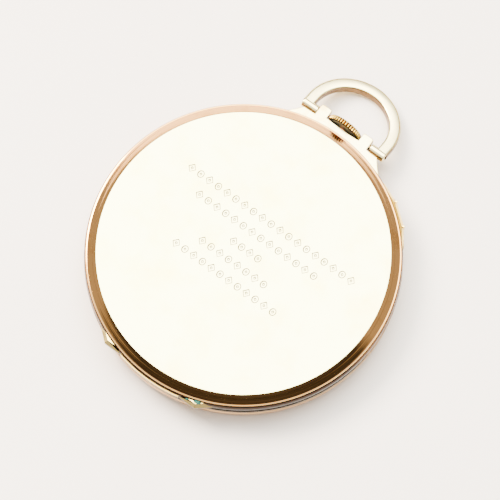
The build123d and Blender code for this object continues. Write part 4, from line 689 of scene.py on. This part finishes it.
# painted shade: the crown's flutes and its face towards the case are near-black brown
FLUTE_SHADE = GoldPlate("crown_flutes_painted_shade", "2E2010", "1E140A", 0.35, 0.6, 0.5, Lines.NONE)
ENGRAVED = GoldPlate("engraved_gold_cuts", "33260F", "261B0A", 0.35, 0.5, 0.8, Lines.NONE)
COLLAR = GoldPlate("turned_rose_collar", "D9955F", "9A5C34", 0.12, 0.5, 1.0, Lines.NONE)
PIN_GOLD = GoldPlate("turned_gold_pin", "DDB47C", "A87C46", 0.16, 0.5, 1.0, Lines.TURNED_X)

# the back's bevel: shares of its width, and how far it has fallen there
BEVEL_STEPS = (
    (0.0, 0.0), (0.03, 0.06), (0.4, 0.35), (0.42, 0.4), (0.8, 0.74), (0.82, 0.78), (0.97, 0.94), (1.0, 1.0),
)
# the ornament's rows: each row's height on the disc, and where it starts and ends
ORNAMENT_ROWS = (
    (5.7, -14.3, 15.7), (3.1, -11.0, 11.0), (0.4, -2.8, 3.0), (-2.2, -6.5, 6.0), (-4.7, -9.3, 9.5),
)


# ---------------------------------------------------------------- sub-assemblies
@dataclass
class Back:
    """The snap-on case back: a flat disc, a turned ring round it, and the lip it snaps by."""

    height: float = 6.6
    flat_r: float = 21.15
    lip_r: float = 22.65
    joint: float = 5.6
    inside: float = 6.2
    rim_r: float = 21.5
    roll: float = 0.02  # how far the disc's edge is rolled down
    cut_width: float = 0.17
    cut_lift: float = 0.004  # the cuts' dark floor is drawn this far above the disc
    pitch: float = 1.62
    lozenge_r: float = 0.66
    roundel_r: float = 0.52
    heart_r: float = 0.2
    narrowing: float = 0.86  # an ornament's width as a share of its height

    def build(self) -> None:
        """Builds the disc, the ring and the ornament."""
        top = self.height
        disc = [(r, top) for r in (0.0, 6.0, 12.0, 18.0, 20.0, 20.9)] + [(self.flat_r, top - self.roll)]
        disc += [(r, self.inside) for r in (self.flat_r, 12.0, 0.0)]
        face = lathe("back_disc", disc, GOLD_BACK.build(), closed=False)
        attach(face, "back", "back_gold", "case_back")
        # a flat bevel with two fine steps in it, which rolls over into the lip
        edge, low = self.lip_r - 0.2, self.joint + 0.26
        start = top - self.roll
        shoulder = [
            (self.flat_r + (edge - self.flat_r) * share, start - (start - low) * drop)
            for share, drop in BEVEL_STEPS
        ]
        ring = shoulder + [
            (self.lip_r - 0.16, self.joint + 0.25),
            (self.lip_r - 0.02, self.joint + 0.23),
            (self.lip_r, self.joint + 0.18),
            (self.lip_r, self.joint + 0.02),
            (self.rim_r - 0.25, self.joint),
            (self.rim_r - 0.25, self.inside),
        ]
        turned = lathe("back_ring", ring, GOLD_RING.build(), closed=False, sharp=50)
        # the ring's upright walls get the painted shade
        dress_where(turned, WALL_SHADE.build(), is_wall)
        attach(turned, "back", "back_gold")
        self.ornament()
        log.info("back: disc, ring and ornament")

    def ornament(self) -> None:
        """Cuts rows of plain lozenges and roundels across the disc."""
        vertices: list[Triple] = []
        faces: list[tuple[int, ...]] = []
        for y0, x0, x1 in ORNAMENT_ROWS:
            count = max(2, round((x1 - x0) / self.pitch))
            for i in range(count):
                x = x0 + (i + 0.5) * (x1 - x0) / count
                # a lozenge has 4 corners and a roundel 28, and each holds a small lozenge
                outer = (4, self.lozenge_r) if i % 2 == 0 else (28, self.roundel_r)
                for corners, radius in (outer, (4, self.heart_r)):
                    path = []
                    for k in range(corners + 1):
                        dx, dy = polar(radius, 90 + 360 * k / corners)
                        path.append((x + dx * self.narrowing, y0 + dy))
                    points, quads = ribbon(path, self.cut_width, self.height + self.cut_lift)
                    offset = len(vertices)
                    vertices += points
                    faces += [tuple(n + offset for n in quad) for quad in quads]
        cuts = make("back_ornament", vertices, faces, ENGRAVED.build())
        attach(cuts, "back", "back_gold")


@dataclass
class Band:
    """The case middle: its band, the lower panel's fins and reeds, the side lip and the pendant."""

    case_r: float = 22.95
    bore_r: float = 19.45
    rim_r: float = 21.5
    dial_z: float = 1.75
    bezel_z: float = 2.9
    bead_z: float = 3.9
    joint: float = 5.55
    plate_top: float = 3.25
    stem_z: float = 3.5
    neck_half: float = 4.65
    ear_in: float = 2.85
    ear_y: float = 25.45
    neck_y: float = 24.05
    shoulder_half: float = 6.6
    shoulder_y: float = 23.5
    plate_z: float = 4.6  # the pendant's flat top
    ear_low: float = 2.4
    lip_middle: float = 51.8  # where the side lip's middle is, in degrees from +X
    lip_half: float = 13.3
    lip_bead: float = 4.75  # how far its beads are from its middle, in degrees
    lip_rise: float = 0.5
    reeds: int = 45
    reeds_half: float = 12.9

    def build(self) -> None:
        """Builds every piece of the case middle."""
        self.ring()
        self.panel()
        self.side_lip()
        self.pendant()
        self.verdigris()
        log.info("band: ring, panel, side lip and pendant")

    def ring(self) -> None:
        """The turned ring, with its bead and its seats."""
        r = self.case_r
        outline = [
            (self.bore_r, self.dial_z, 0.0),
            (self.rim_r, self.dial_z, 0.05),
            (self.rim_r, self.bezel_z, 0.0),
            (r - 0.08, self.bezel_z, 0.05),
            (r - 0.05, self.bead_z - 0.14, 0.03),
            (r + 0.02, self.bead_z - 0.07, 0.04),
            (r + 0.02, self.bead_z + 0.07, 0.04),
            (r - 0.07, self.bead_z + 0.12, 0.03),
            (r - 0.02, self.bead_z + 0.5, 0.3),
            (r - 0.02, self.joint - 0.45, 0.3),
            (r - 0.16, self.joint, 0.08),
            (self.rim_r - 0.3, self.joint, 0.0),
            (self.rim_r - 0.3, 6.0, 0.05),
            (self.bore_r, 6.0, 0.05),
            (self.bore_r, self.plate_top + 0.55, 0.0),
            (19.0, self.plate_top + 0.55, 0.05),
            (19.0, self.plate_top, 0.0),
            (self.bore_r, self.plate_top, 0.0),
        ]
        ring = lathe("band_ring", rounded(outline), GOLD_BAND.build(), segments=360)
        # near-black brown on the up-facing shoulder by the joint, with the painted dark reflection on its
        # lower left side
        dress_where(ring, SHOULDER_DARK_REFLECTION.build(), lambda centre, normal: normal.z > 0.15 and centre.z > 5.0)
        attach(ring, "case", "middle_gold", "case_middle")

    def panel(self) -> None:
        """The lower panel: two proud fins with a reeded stretch between them."""
        gold = GOLD_FINS.build()
        chord = -(self.case_r - 0.6)
        corner = -chord * tan(radians(19.7))
        for side, word in ((-1, "right"), (1, "left")):
            end = polar(self.case_r - 0.02, -90 + side * 26.0)
            start = 5.2
            outline = rounded([
                (side * start, chord + 1.2, 0.0),
                (side * start, chord, 0.06),
                (side * corner, chord, 0.25),
                (end[0], end[1], 0.0),
                (end[0] - side * 1.0, end[1] + 0.5, 0.0),
            ])
            low, high = self.bead_z + 0.1, self.joint - 0.12
            # the fin's upright walls get the painted shade
            fin = prism(f"fin_{word}", outline, low, high, gold, 0.5, 1, WALL_SHADE.build())
            attach(fin, "case", "middle_gold")
        # the reeds stand side by side along the case's circle
        vertices: list[Triple] = []
        faces: list[tuple[int, ...]] = []
        spread = self.reeds_half
        per = 8
        low, high = self.bead_z + 0.16, self.joint - 0.2
        total = self.reeds * per
        for i in range(total + 1):
            angle = -90 - spread + 2 * spread * i / total
            bulge = 0.09 * abs(sin(pi * i / per)) ** 0.6
            for inset, z in ((0.1, low - 0.06), (0.0, low), (0.0, high), (0.1, high + 0.06)):
                x, y = polar(self.case_r - 0.03 + bulge - inset, angle)
                vertices.append((x, y, z))
            if i:
                j = 4 * i
                faces += [(j - 4 + k, j - 3 + k, j + 1 + k, j + k) for k in range(3)]
        attach(make("panel_reeds", vertices, faces, gold, 60), "case", "middle_gold")

    def side_lip(self) -> None:
        """The low flat on the band's side, with a bead at each of its corners."""
        gold = GOLD_FINS.build()
        r, middle = self.case_r, self.lip_middle
        reach = r + self.lip_rise

        def flank(side: int, step: int) -> tuple[float, float, float]:
            """One point of the rise from the band up to a corner."""
            swell = r + 0.1 + 0.3 * (step / 4) ** 1.6
            return (*polar(swell, middle + side * (self.lip_half - 1.7 * (step + 0.6))), 0.0)

        outline = [(*polar(r - 0.02, middle - self.lip_half), 0.0)]
        outline += [flank(-1, step) for step in range(5)]
        outline.append((*polar(reach, middle - self.lip_bead), 0.1))
        outline.append((*polar(reach - 0.05, middle), 0.0))
        outline.append((*polar(reach, middle + self.lip_bead), 0.1))
        outline += [flank(1, step) for step in reversed(range(5))]
        outline.append((*polar(r - 0.02, middle + self.lip_half), 0.0))
        outline += [(*polar(r - 0.8, middle + side * 12.0), 0.0) for side in (1, -1)]
        low, high = self.bead_z + 0.1, self.joint - 0.12
        # the lip's upright walls get the painted shade
        lip = prism("side_lip", rounded(outline, 3), low, high, gold, 0.3, 1, WALL_SHADE.build())
        # its top faces get the darker yellow gold
        dress_where(lip, LIP_TOP_GOLD.build(), lambda centre, normal: normal.z > 0.9)
        attach(lip, "case", "middle_gold")
        for side, word in ((-1, "low"), (1, "high")):
            x, y = polar(reach - 0.04, middle + side * self.lip_bead)
            profile = rounded([
                (0.0, self.bead_z + 0.1, 0.0), (0.17, self.bead_z + 0.1, 0.1),
                (0.17, self.joint - 0.1, 0.12), (0.0, self.joint - 0.1, 0.0),
            ], closed=False)
            bead = lathe(f"lip_bead_{word}", profile, gold, 32, closed=False, at=(x, y, 0.0))
            attach(bead, "case", "middle_gold")

    def pendant(self) -> None:
        """The pendant: a base whose wings sweep into the band, the neck, the ears and the collar."""
        gold, toned = GOLD_PENDANT.build(), WALL_SHADE.build()
        wing = polar(self.case_r - 0.02, 65.0)
        half = [
            (self.ear_in, self.neck_y, 0.0),
            (self.ear_in, self.ear_y, 0.32),
            (self.neck_half, self.ear_y, 0.38),
            (self.neck_half, self.shoulder_y + 0.08, 0.1),
            (self.shoulder_half, self.shoulder_y, 0.12),
        ]
        for step in range(1, 8):
            t = step / 8
            x = self.shoulder_half + (wing[0] - self.shoulder_half) * t
            y = self.shoulder_y + (wing[1] - self.shoulder_y) * t - 0.42 * sin(pi * t)
            half.append((x, max(y, sqrt(max(0.0, (self.case_r + 0.02) ** 2 - x * x))), 0.0))
        half.append((wing[0], wing[1], 0.0))
        half.append((wing[0] - 0.9, wing[1] - 0.3, 0.0))
        mirrored = [(-x, y, r) for x, y, r in reversed(half)]
        outline = rounded(half + mirrored)
        # the plate's upright walls get the painted shade
        plate = prism("pendant_plate", outline, self.bezel_z, self.plate_z, gold, 0.15, 3, toned)
        attach(plate, "case", "middle_gold")
        for side, word in ((-1, "left"), (1, "right")):
            inner, outer = side * (self.ear_in + 0.03), side * (self.neck_half - 0.03)
            foot = rounded([
                (inner, self.case_r + 0.05, 0.0), (inner, self.ear_y - 0.03, 0.32),
                (outer, self.ear_y - 0.03, 0.38), (outer, self.case_r + 0.05, 0.0),
            ])
            low, high = self.ear_low, self.ear_low + 1.0
            # the ear feet's upright walls get the painted shade
            attach(prism(f"ear_foot_{word}", foot, low, high, gold, 0.16, 4, toned), "case", "middle_gold")
        collar = rounded([(0.57, self.neck_y - 0.1, 0.0), (1.15, self.neck_y - 0.1, 0.0),
                          (1.15, self.neck_y + 0.05, 0.03), (0.57, self.neck_y + 0.05, 0.03)])
        ring = lathe("stem_collar", collar, COLLAR.build(), 64, axis="Y", at=(0.0, 0.0, self.stem_z))
        attach(ring, "case", "middle_gold")

    def verdigris(self) -> None:
        """A crust of green corrosion in the corner of a fin."""
        crust = Verdigris().build()
        for name, at, size in (("crust_fin", (7.75, -21.35, 5.42), (0.62, 0.42, 0.16)),
                               ("crust_speck", (6.4, -21.95, 5.4), (0.2, 0.15, 0.1))):
            work = bmesh.new()
            bmesh.ops.create_icosphere(work, subdivisions=4, radius=1.0)
            for vertex in work.verts:
                spot = vertex.co.normalized()
                lump = 1 + 0.22 * noise.noise(spot * 2.3) + 0.12 * noise.noise(spot * 6.1)
                vertex.co = Vector((
                    (at[0] + spot.x * size[0] * lump) * MM,
                    (at[1] + spot.y * size[1] * lump) * MM,
                    (at[2] + spot.z * size[2] * lump) * MM,
                ))
            mesh = bpy.data.meshes.new(name)
            work.to_mesh(mesh)
            work.free()
            for polygon in mesh.polygons:
                polygon.use_smooth = True
            mesh.materials.append(crust)
            item = bpy.data.objects.new(name, mesh)
            bpy.context.scene.collection.objects.link(item)
            attach(item, "case", "middle_gold")


@dataclass
class Bezel:
    """The front bezel, the glass it holds, and the ring inside it."""

    case_r: float = 22.95
    height: float = 2.85
    rim_r: float = 21.5
    glass_r: float = 20.15
    glass_thick: float = 0.75

    def build(self) -> None:
        """Builds the bezel and the glass."""
        r = self.case_r
        outline = [
            (19.1, 1.7, 0.0), (19.1, self.glass_thick, 0.05), (self.glass_r + 0.02, self.glass_thick, 0.0),
            (self.glass_r + 0.02, 0.2, 0.0), (self.glass_r + 0.12, 0.1, 0.04), (self.rim_r - 0.3, 0.1, 0.3),
            (r - 0.75, 0.42, 0.5), (r - 0.12, 1.3, 0.8), (r - 0.04, self.height - 0.3, 0.2),
            (r - 0.12, self.height, 0.08),
            (self.rim_r + 0.03, self.height, 0.0), (self.rim_r + 0.03, 1.7, 0.0),
        ]
        ring = lathe("bezel_ring", rounded(outline, 6), GOLD_BEZEL.build(), segments=360)
        attach(ring, "bezel", "bezel_gold", "front_bezel")
        pane = rounded([
            (0.0, 0.0, 0.0), (self.glass_r, 0.0, 0.14), (self.glass_r, self.glass_thick, 0.05),
            (0.0, self.glass_thick, 0.0),
        ], closed=False)
        glass = lathe("glass_pane", pane, WatchGlass().build(), closed=False)
        attach(glass, "bezel", "crystal_glass", "crystal")
        log.info("bezel: ring and glass")


@dataclass
class Pull:
    """The bow with its knuckles, their pins, and the crown."""

    pivot_y: float = 24.4
    stem_z: float = 3.5
    droop: float = 17.83
    out: float = 7.35
    band: float = 1.65
    swell: float = 0.15  # how much the bow's flat is wider on its outside
    arch: float = 1.015  # how much taller than round its curve is
    thick: float = 1.4
    leg: float = 1.6
    knuckle_r: float = 0.75
    neck_half: float = 4.65
    crown_y: float = 24.17
    crown_r: float = 2.8
    crown_length: float = 0.8
    dome: float = 0.25
    crown_bore: float = 0.57
    flutes: int = 40
    flute_depth: float = 0.36

    def build(self) -> None:
        """Builds the bow, its knuckles and the crown."""
        self.bow()
        self.crown()
        log.info("pull: bow, pins and crown")

    def bow(self) -> None:
        """The flat D of the bow, drawn along its middle line, and a knuckle at each end."""
        gold = GOLD_BOW.build()
        middle = self.out - self.band / 2
        path: list[tuple[Point, Point]] = [((middle, 0.2 + self.leg * k / 8), (1.0, 0.0)) for k in range(7)]
        for k in range(65):
            a = pi * k / 64
            path.append(((middle * cos(a), self.leg + self.arch * middle * sin(a)), (cos(a), sin(a))))
        path += [((-middle, 0.2 + self.leg * k / 8), (-1.0, 0.0)) for k in reversed(range(7))]
        w, t = self.band / 2, self.thick / 2
        out = w + self.swell
        section = rounded([(out, -t, 0.42), (out, t, 0.42), (-w, t, 0.3), (-w, -t, 0.3)], 6)
        tilt = radians(self.droop)
        vertices: list[Triple] = []
        faces: list[tuple[int, ...]] = []
        size = len(section)
        for (x, y), (nx, ny) in path:
            for s, h in section:
                px, py = x + nx * s, y + ny * s
                vertices.append((
                    px,
                    self.pivot_y + py * cos(tilt) + h * sin(tilt),
                    self.stem_z - py * sin(tilt) + h * cos(tilt),
                ))
        for i in range(len(path) - 1):
            for k in range(size):
                a, b = i * size + k, i * size + (k + 1) % size
                faces.append((a, b, b + size, a + size))
        faces.append(tuple(range(size)))
        faces.append(tuple(range(len(vertices) - size, len(vertices))))
        loop = make("bow_loop", vertices, faces, gold)
        # the bow's upright walls get the painted shade
        dress_where(loop, WALL_SHADE.build(), is_wall)
        attach(loop, "bow", "bow_gold", "bow")
        for side, word in ((-1, "left"), (1, "right")):
            r = self.knuckle_r
            inner = self.neck_half + 0.12
            profile = rounded([
                (0.42, side * inner, 0.0), (r, side * inner, 0.1), (r, side * self.out, 0.22),
                (0.0, side * self.out, 0.0),
            ], closed=False)
            knuckle = lathe(f"knuckle_{word}", profile, gold, 64, closed=False, axis="X",
                            at=(0.0, self.pivot_y, self.stem_z))
            attach(knuckle, "bow", "bow_gold")

    def crown(self) -> None:
        """The knurled crown: a low dome inside a ring of coarse flutes."""
        r, y = self.crown_r, self.crown_y
        edge = r - 0.3
        end = y + self.crown_length
        profile = [(self.crown_bore, y), (edge - 0.1, y), (r - 0.12, y + 0.02), (r, y + 0.1), (r, y + 0.4)]
        profile += [(r, end - 0.08), (r - 0.12, end + 0.03), (edge, end + 0.02)]
        for k in range(1, 11):
            share = 1 - k / 10
            profile.append((edge * share, end + self.dome * (1 - share ** 2)))
        crown = lathe(
            "crown_button", profile, GOLD_CROWN.build(), self.flutes * 12, closed=False, axis="Y",
            at=(0.0, 0.0, self.stem_z), flutes=self.flutes, flute_depth=self.flute_depth,
            flute_zone=(edge - 0.02, r - 0.12),
        )

        def is_dirty(centre: Vector, normal: Vector) -> bool:
            """Whether a face gets the painted shade: in the flutes, and on the side that looks at the case.
            """
            out = hypot(centre.x, centre.z - self.stem_z)
            return normal.y < -0.7 or (edge < out < r - 0.11 and centre.y < end)

        dress_where(crown, FLUTE_SHADE.build(), is_dirty)
        attach(crown, "crown", "crown_gold", "crown")


@dataclass
class Dial:
    """The dial, with generic numerals, a minute track and a seconds track."""

    radius: float = 19.4
    face: float = 1.75
    thick: float = 0.3
    seconds: Point = (0.0, -9.0)  # the centre of the seconds track
    numeral_r: float = 14.9
    numeral_size: float = 4.0
    facets: int = 180

    def build(self) -> None:
        """Prints the dial's marks on a thin turned disc."""
        disc = [
            (0.9, self.face), (self.radius - 0.1, self.face), (self.radius, self.face + 0.1),
            (self.radius, self.face + self.thick), (0.9, self.face + self.thick),
        ]
        attach(lathe("dial_disc", disc, DialPaint().build()), "case", "dial_enamel", "dial")
        ink = PrintedInk().build()
        vertices: list[Triple] = []
        faces: list[tuple[int, ...]] = []
        z = self.face - NUMERAL_GAP

        def bar(centre: Point, angle: float, inner: float, outer: float, width: float) -> None:
            """One printed mark that points away from a centre."""
            c, s = cos(radians(angle)), sin(radians(angle))
            first = len(vertices)
            for r, w in ((inner, -1), (inner, 1), (outer, 1), (outer, -1)):
                aside = w * width / 2
                vertices.append((centre[0] + r * c - aside * s, centre[1] + r * s + aside * c, z))
            faces.append((first, first + 1, first + 2, first + 3))

        def circle(centre: Point, radius: float, width: float) -> None:
            """One printed circle."""
            first = len(vertices)
            for k in range(self.facets):
                for r in (radius - width / 2, radius + width / 2):
                    x, y = polar(r, 360 * k / self.facets)
                    vertices.append((centre[0] + x, centre[1] + y, z))
            for k in range(self.facets):
                a, b = first + 2 * k, first + 2 * ((k + 1) % self.facets)
                faces.append((a, a + 1, b + 1, b))

        for minute in range(60):
            fifth = minute % 5 == 0
            bar((0.0, 0.0), 6.0 * minute, 17.6 if fifth else 17.9, 18.5, 0.26 if fifth else 0.1)
            bar(self.seconds, 6.0 * minute, 3.1 if fifth else 3.3, 3.7, 0.14 if fifth else 0.07)
        for r in (17.55, 18.55):
            circle((0.0, 0.0), r, 0.07)
        circle(self.seconds, 3.75, 0.07)
        attach(make("dial_track", vertices, faces, ink), "case", "dial_enamel")
        for hour in range(1, 13):
            if hour == 6:
                continue
            self.numeral(str(hour), hour, ink)
        log.info("dial: disc, tracks and numerals")

    def numeral(self, word: str, hour: int, ink: bpy.types.Material) -> None:
        """One printed numeral, upright on the dial, which faces down."""
        letters = bpy.data.curves.new(f"numeral_{hour}", "FONT")
        letters.body = word
        letters.size = self.numeral_size * MM
        letters.align_x = "CENTER"
        letters.align_y = "CENTER"
        holder = bpy.data.objects.new(f"numeral_{hour}", letters)
        bpy.context.scene.collection.objects.link(holder)
        bpy.context.view_layer.update()
        mesh = bpy.data.meshes.new_from_object(holder)
        bpy.data.objects.remove(holder)
        # seen from below, 3 o'clock is on the -X side
        x, y = polar(self.numeral_r, 90 + 30 * hour)
        for vertex in mesh.vertices:
            vertex.co = Vector((x * MM - vertex.co.x, y * MM + vertex.co.y, (self.face - NUMERAL_GAP) * MM))
        mesh.name = f"numeral_mesh_{hour}"
        mesh.materials.clear()
        mesh.materials.append(ink)
        item = bpy.data.objects.new(f"numeral_{hour}", mesh)
        bpy.context.scene.collection.objects.link(item)
        attach(item, "case", "dial_enamel")


@dataclass
class Movement:
    """The lever movement and the hands, dressed as they are made."""

    def build(self) -> None:
        """Gives every solid piece that still shows the metal or stone it is made of."""
        steel = WorkedMetal("polished_steel", "C9C9CC", "A3A3A8", 0.14).build()
        finishes = {
            "plate_nickel": StripedNickel().build(),
            "wheel_brass": WorkedMetal("gilt_grained_brass", "E2BC6C", "C2954A", 0.22, 0.12, 0.2).build(),
            "balance_brass": WorkedMetal("polished_gilt_brass", "F0CB7C", "CFA055", 0.12).build(),
            "winding_steel": WorkedMetal("sunray_ground_steel", "D2D1CF", "9F9EA0", 0.2, 0.1, 0.3).build(),
            "screw_steel": WorkedMetal("lapped_screw_steel", "B9B9C0", "8A8A94", 0.1).build(),
            "spring_steel": WorkedMetal("rolled_spring_steel", "7C7F88", "5A5D66", 0.25).build(),
            "hairspring_steel": WorkedMetal("blued_spring_steel", "2A3F86", "182858", 0.2).build(),
            "hand_steel": WorkedMetal("fire_blued_steel", "22377E", "101C4A", 0.12).build(),
            "jewel_ruby": Jewel().build(),
            "dial_feet_brass": WorkedMetal("turned_raw_brass", "C9A25A", "9A7A40", 0.3).build(),
            "pin_gold": PIN_GOLD.build(),
            "polished_steel": steel,
        }
        slots = {entry["node"]: entry["material_slot"] for entry in frame["record"]["subparts"]}
        dressed = 0
        for node, item in frame["nodes"].items():
            finish = finishes.get(slots.get(node, node))
            if finish is not None:
                item.data.materials.clear()
                item.data.materials.append(finish)
                dressed += 1
        log.info("movement: %d pieces dressed", dressed)


# ---------------------------------------------------------------- the studio
@dataclass
class Studio:
    """The camera, the table and the soft light."""

    azimuth: float = 36.8
    elevation: float = 73.0
    distance: float = 0.5
    width_mm: float = 71.6
    centre_right: float = 0.93
    centre_up: float = 0.25
    wall_top: float = 0.42  # the walls' share of the height of the room, as the sine of an elevation
    ceiling: float = 0.6
    wall_light: float = 0.85
    ceiling_light: float = 2.6
    box_light: float = 13.0  # what the large soft box over the watch adds
    box_toward: Triple = (-0.25, 0.42, 0.87)
    dark_share: float = 0.23  # what is left of the light on the dark side
    table_half: float = 1.5  # metres

    def camera(self) -> None:
        """Sets a long lens high over the watch."""
        az, el = radians(self.azimuth), radians(self.elevation)
        right = Vector((cos(az), sin(az), 0.0))
        up = Vector((-sin(az) * sin(el), cos(az) * sin(el), cos(el)))
        back = Vector((sin(az) * cos(el), -cos(az) * cos(el), sin(el)))
        target = Vector((0.0, 0.0, Back.height)) + right * self.centre_right + up * self.centre_up
        data = bpy.data.cameras.new("camera")
        data.lens = 36.0 * self.distance / (self.width_mm * MM)
        data.clip_start = 0.01
        data.dof.use_dof = False
        item = bpy.data.objects.new("camera", data)
        bpy.context.scene.collection.objects.link(item)
        item.location = target * MM + back * self.distance
        item.rotation_euler = back.to_track_quat("Z", "Y").to_euler()
        bpy.context.scene.camera = item

    def table(self) -> None:
        """A wide plain table top."""
        mesh = bpy.data.meshes.new("table")
        s = self.table_half
        mesh.from_pydata([(-s, -s, 0), (s, -s, 0), (s, s, 0), (-s, s, 0)], [], [(0, 1, 2, 3)])
        mesh.materials.append(Tabletop().build())
        item = bpy.data.objects.new("table", mesh)
        bpy.context.scene.collection.objects.link(item)

    def lamp(self, name: str, azimuth: float, elevation: float, reach: float, size: float, power: float,
             color: str) -> None:
        """One soft rectangular light that faces the watch."""
        data = bpy.data.lights.new(name, "AREA")
        data.size = size
        data.energy = power
        data.color = linear(color)[:3]
        item = bpy.data.objects.new(name, data)
        az, el = radians(azimuth), radians(elevation)
        away = Vector((cos(az) * cos(el), sin(az) * cos(el), sin(el)))
        item.location = away * reach
        item.rotation_euler = away.to_track_quat("Z", "Y").to_euler()
        bpy.context.scene.collection.objects.link(item)

    def sky(self) -> None:
        """A bright room overhead, with a dark patch part way up on the viewer's left."""
        world = bpy.data.worlds.new("studio")
        bpy.context.scene.world = world
        world.use_nodes = True
        tree = world.node_tree
        tree.nodes.clear()
        direction = add(tree, "TexCoord").outputs["Generated"]
        toward = add(
            tree, "VectorMath", {0: direction, 1: heading(DARK_BEARING)}, operation="DOT_PRODUCT",
        ).outputs["Value"]
        height = add(tree, "SeparateXYZ", {0: direction}).outputs["Z"]
        # the dark side reaches from a little over the table to three quarters of the way up
        below = span(tree, height, 0.66, 0.8, 1.0, 0.0)
        band = multiply(tree, below, span(tree, height, 0.27, 0.36, 0.0, 1.0))
        share = multiply(tree, band, span(tree, toward, 0.17, 0.3, 0.0, 1.0))
        lit = span(tree, height, self.wall_top, self.ceiling, 0.0, 1.0)
        box = Vector(self.box_toward).normalized()
        facing = add(tree, "VectorMath", {0: direction, 1: box}, operation="DOT_PRODUCT").outputs["Value"]
        round_box = span(tree, facing, 0.865, 0.91, 0.0, 1.0)
        soft = multiply(tree, round_box, span(tree, height, 0.54, 0.61, 0.0, 1.0))
        color = blend_colors(tree, lit, linear("FFF4E8"), linear("FFFDF6"))
        color = blend_colors(tree, share, color, linear("A29C9C"))
        bright = span(tree, lit, 0.0, 1.0, self.wall_light, self.ceiling_light)
        dim = span(tree, share, 0.0, 1.0, 1.0, self.dark_share)
        glow = span(tree, soft, 0.0, 1.0, 0.0, self.box_light)
        boxed = add(tree, "Math", {0: bright, 1: glow}, operation="ADD").outputs[0]
        shade = add(tree, "Background", {"Color": color, "Strength": multiply(tree, boxed, dim)})
        add(tree, "OutputWorld", {"Surface": shade.outputs[0]})

    def build(self) -> None:
        """Builds the studio."""
        self.table()
        self.sky()
        self.lamp("key", 176.0, 48.0, 0.7, 0.3, 21.0, "FFF0E0")
        log.info("studio: table, sky and key light")


def main() -> None:
    """Builds the whole scene."""
    logging.basicConfig(level=logging.INFO, format="%(name)s %(message)s")
    studio = Studio()
    studio.camera()
    Back().build()
    Band().build()
    Bezel().build()
    Pull().build()
    Dial().build()
    Movement().build()
    studio.build()


if __name__ == "__main__":
    main()
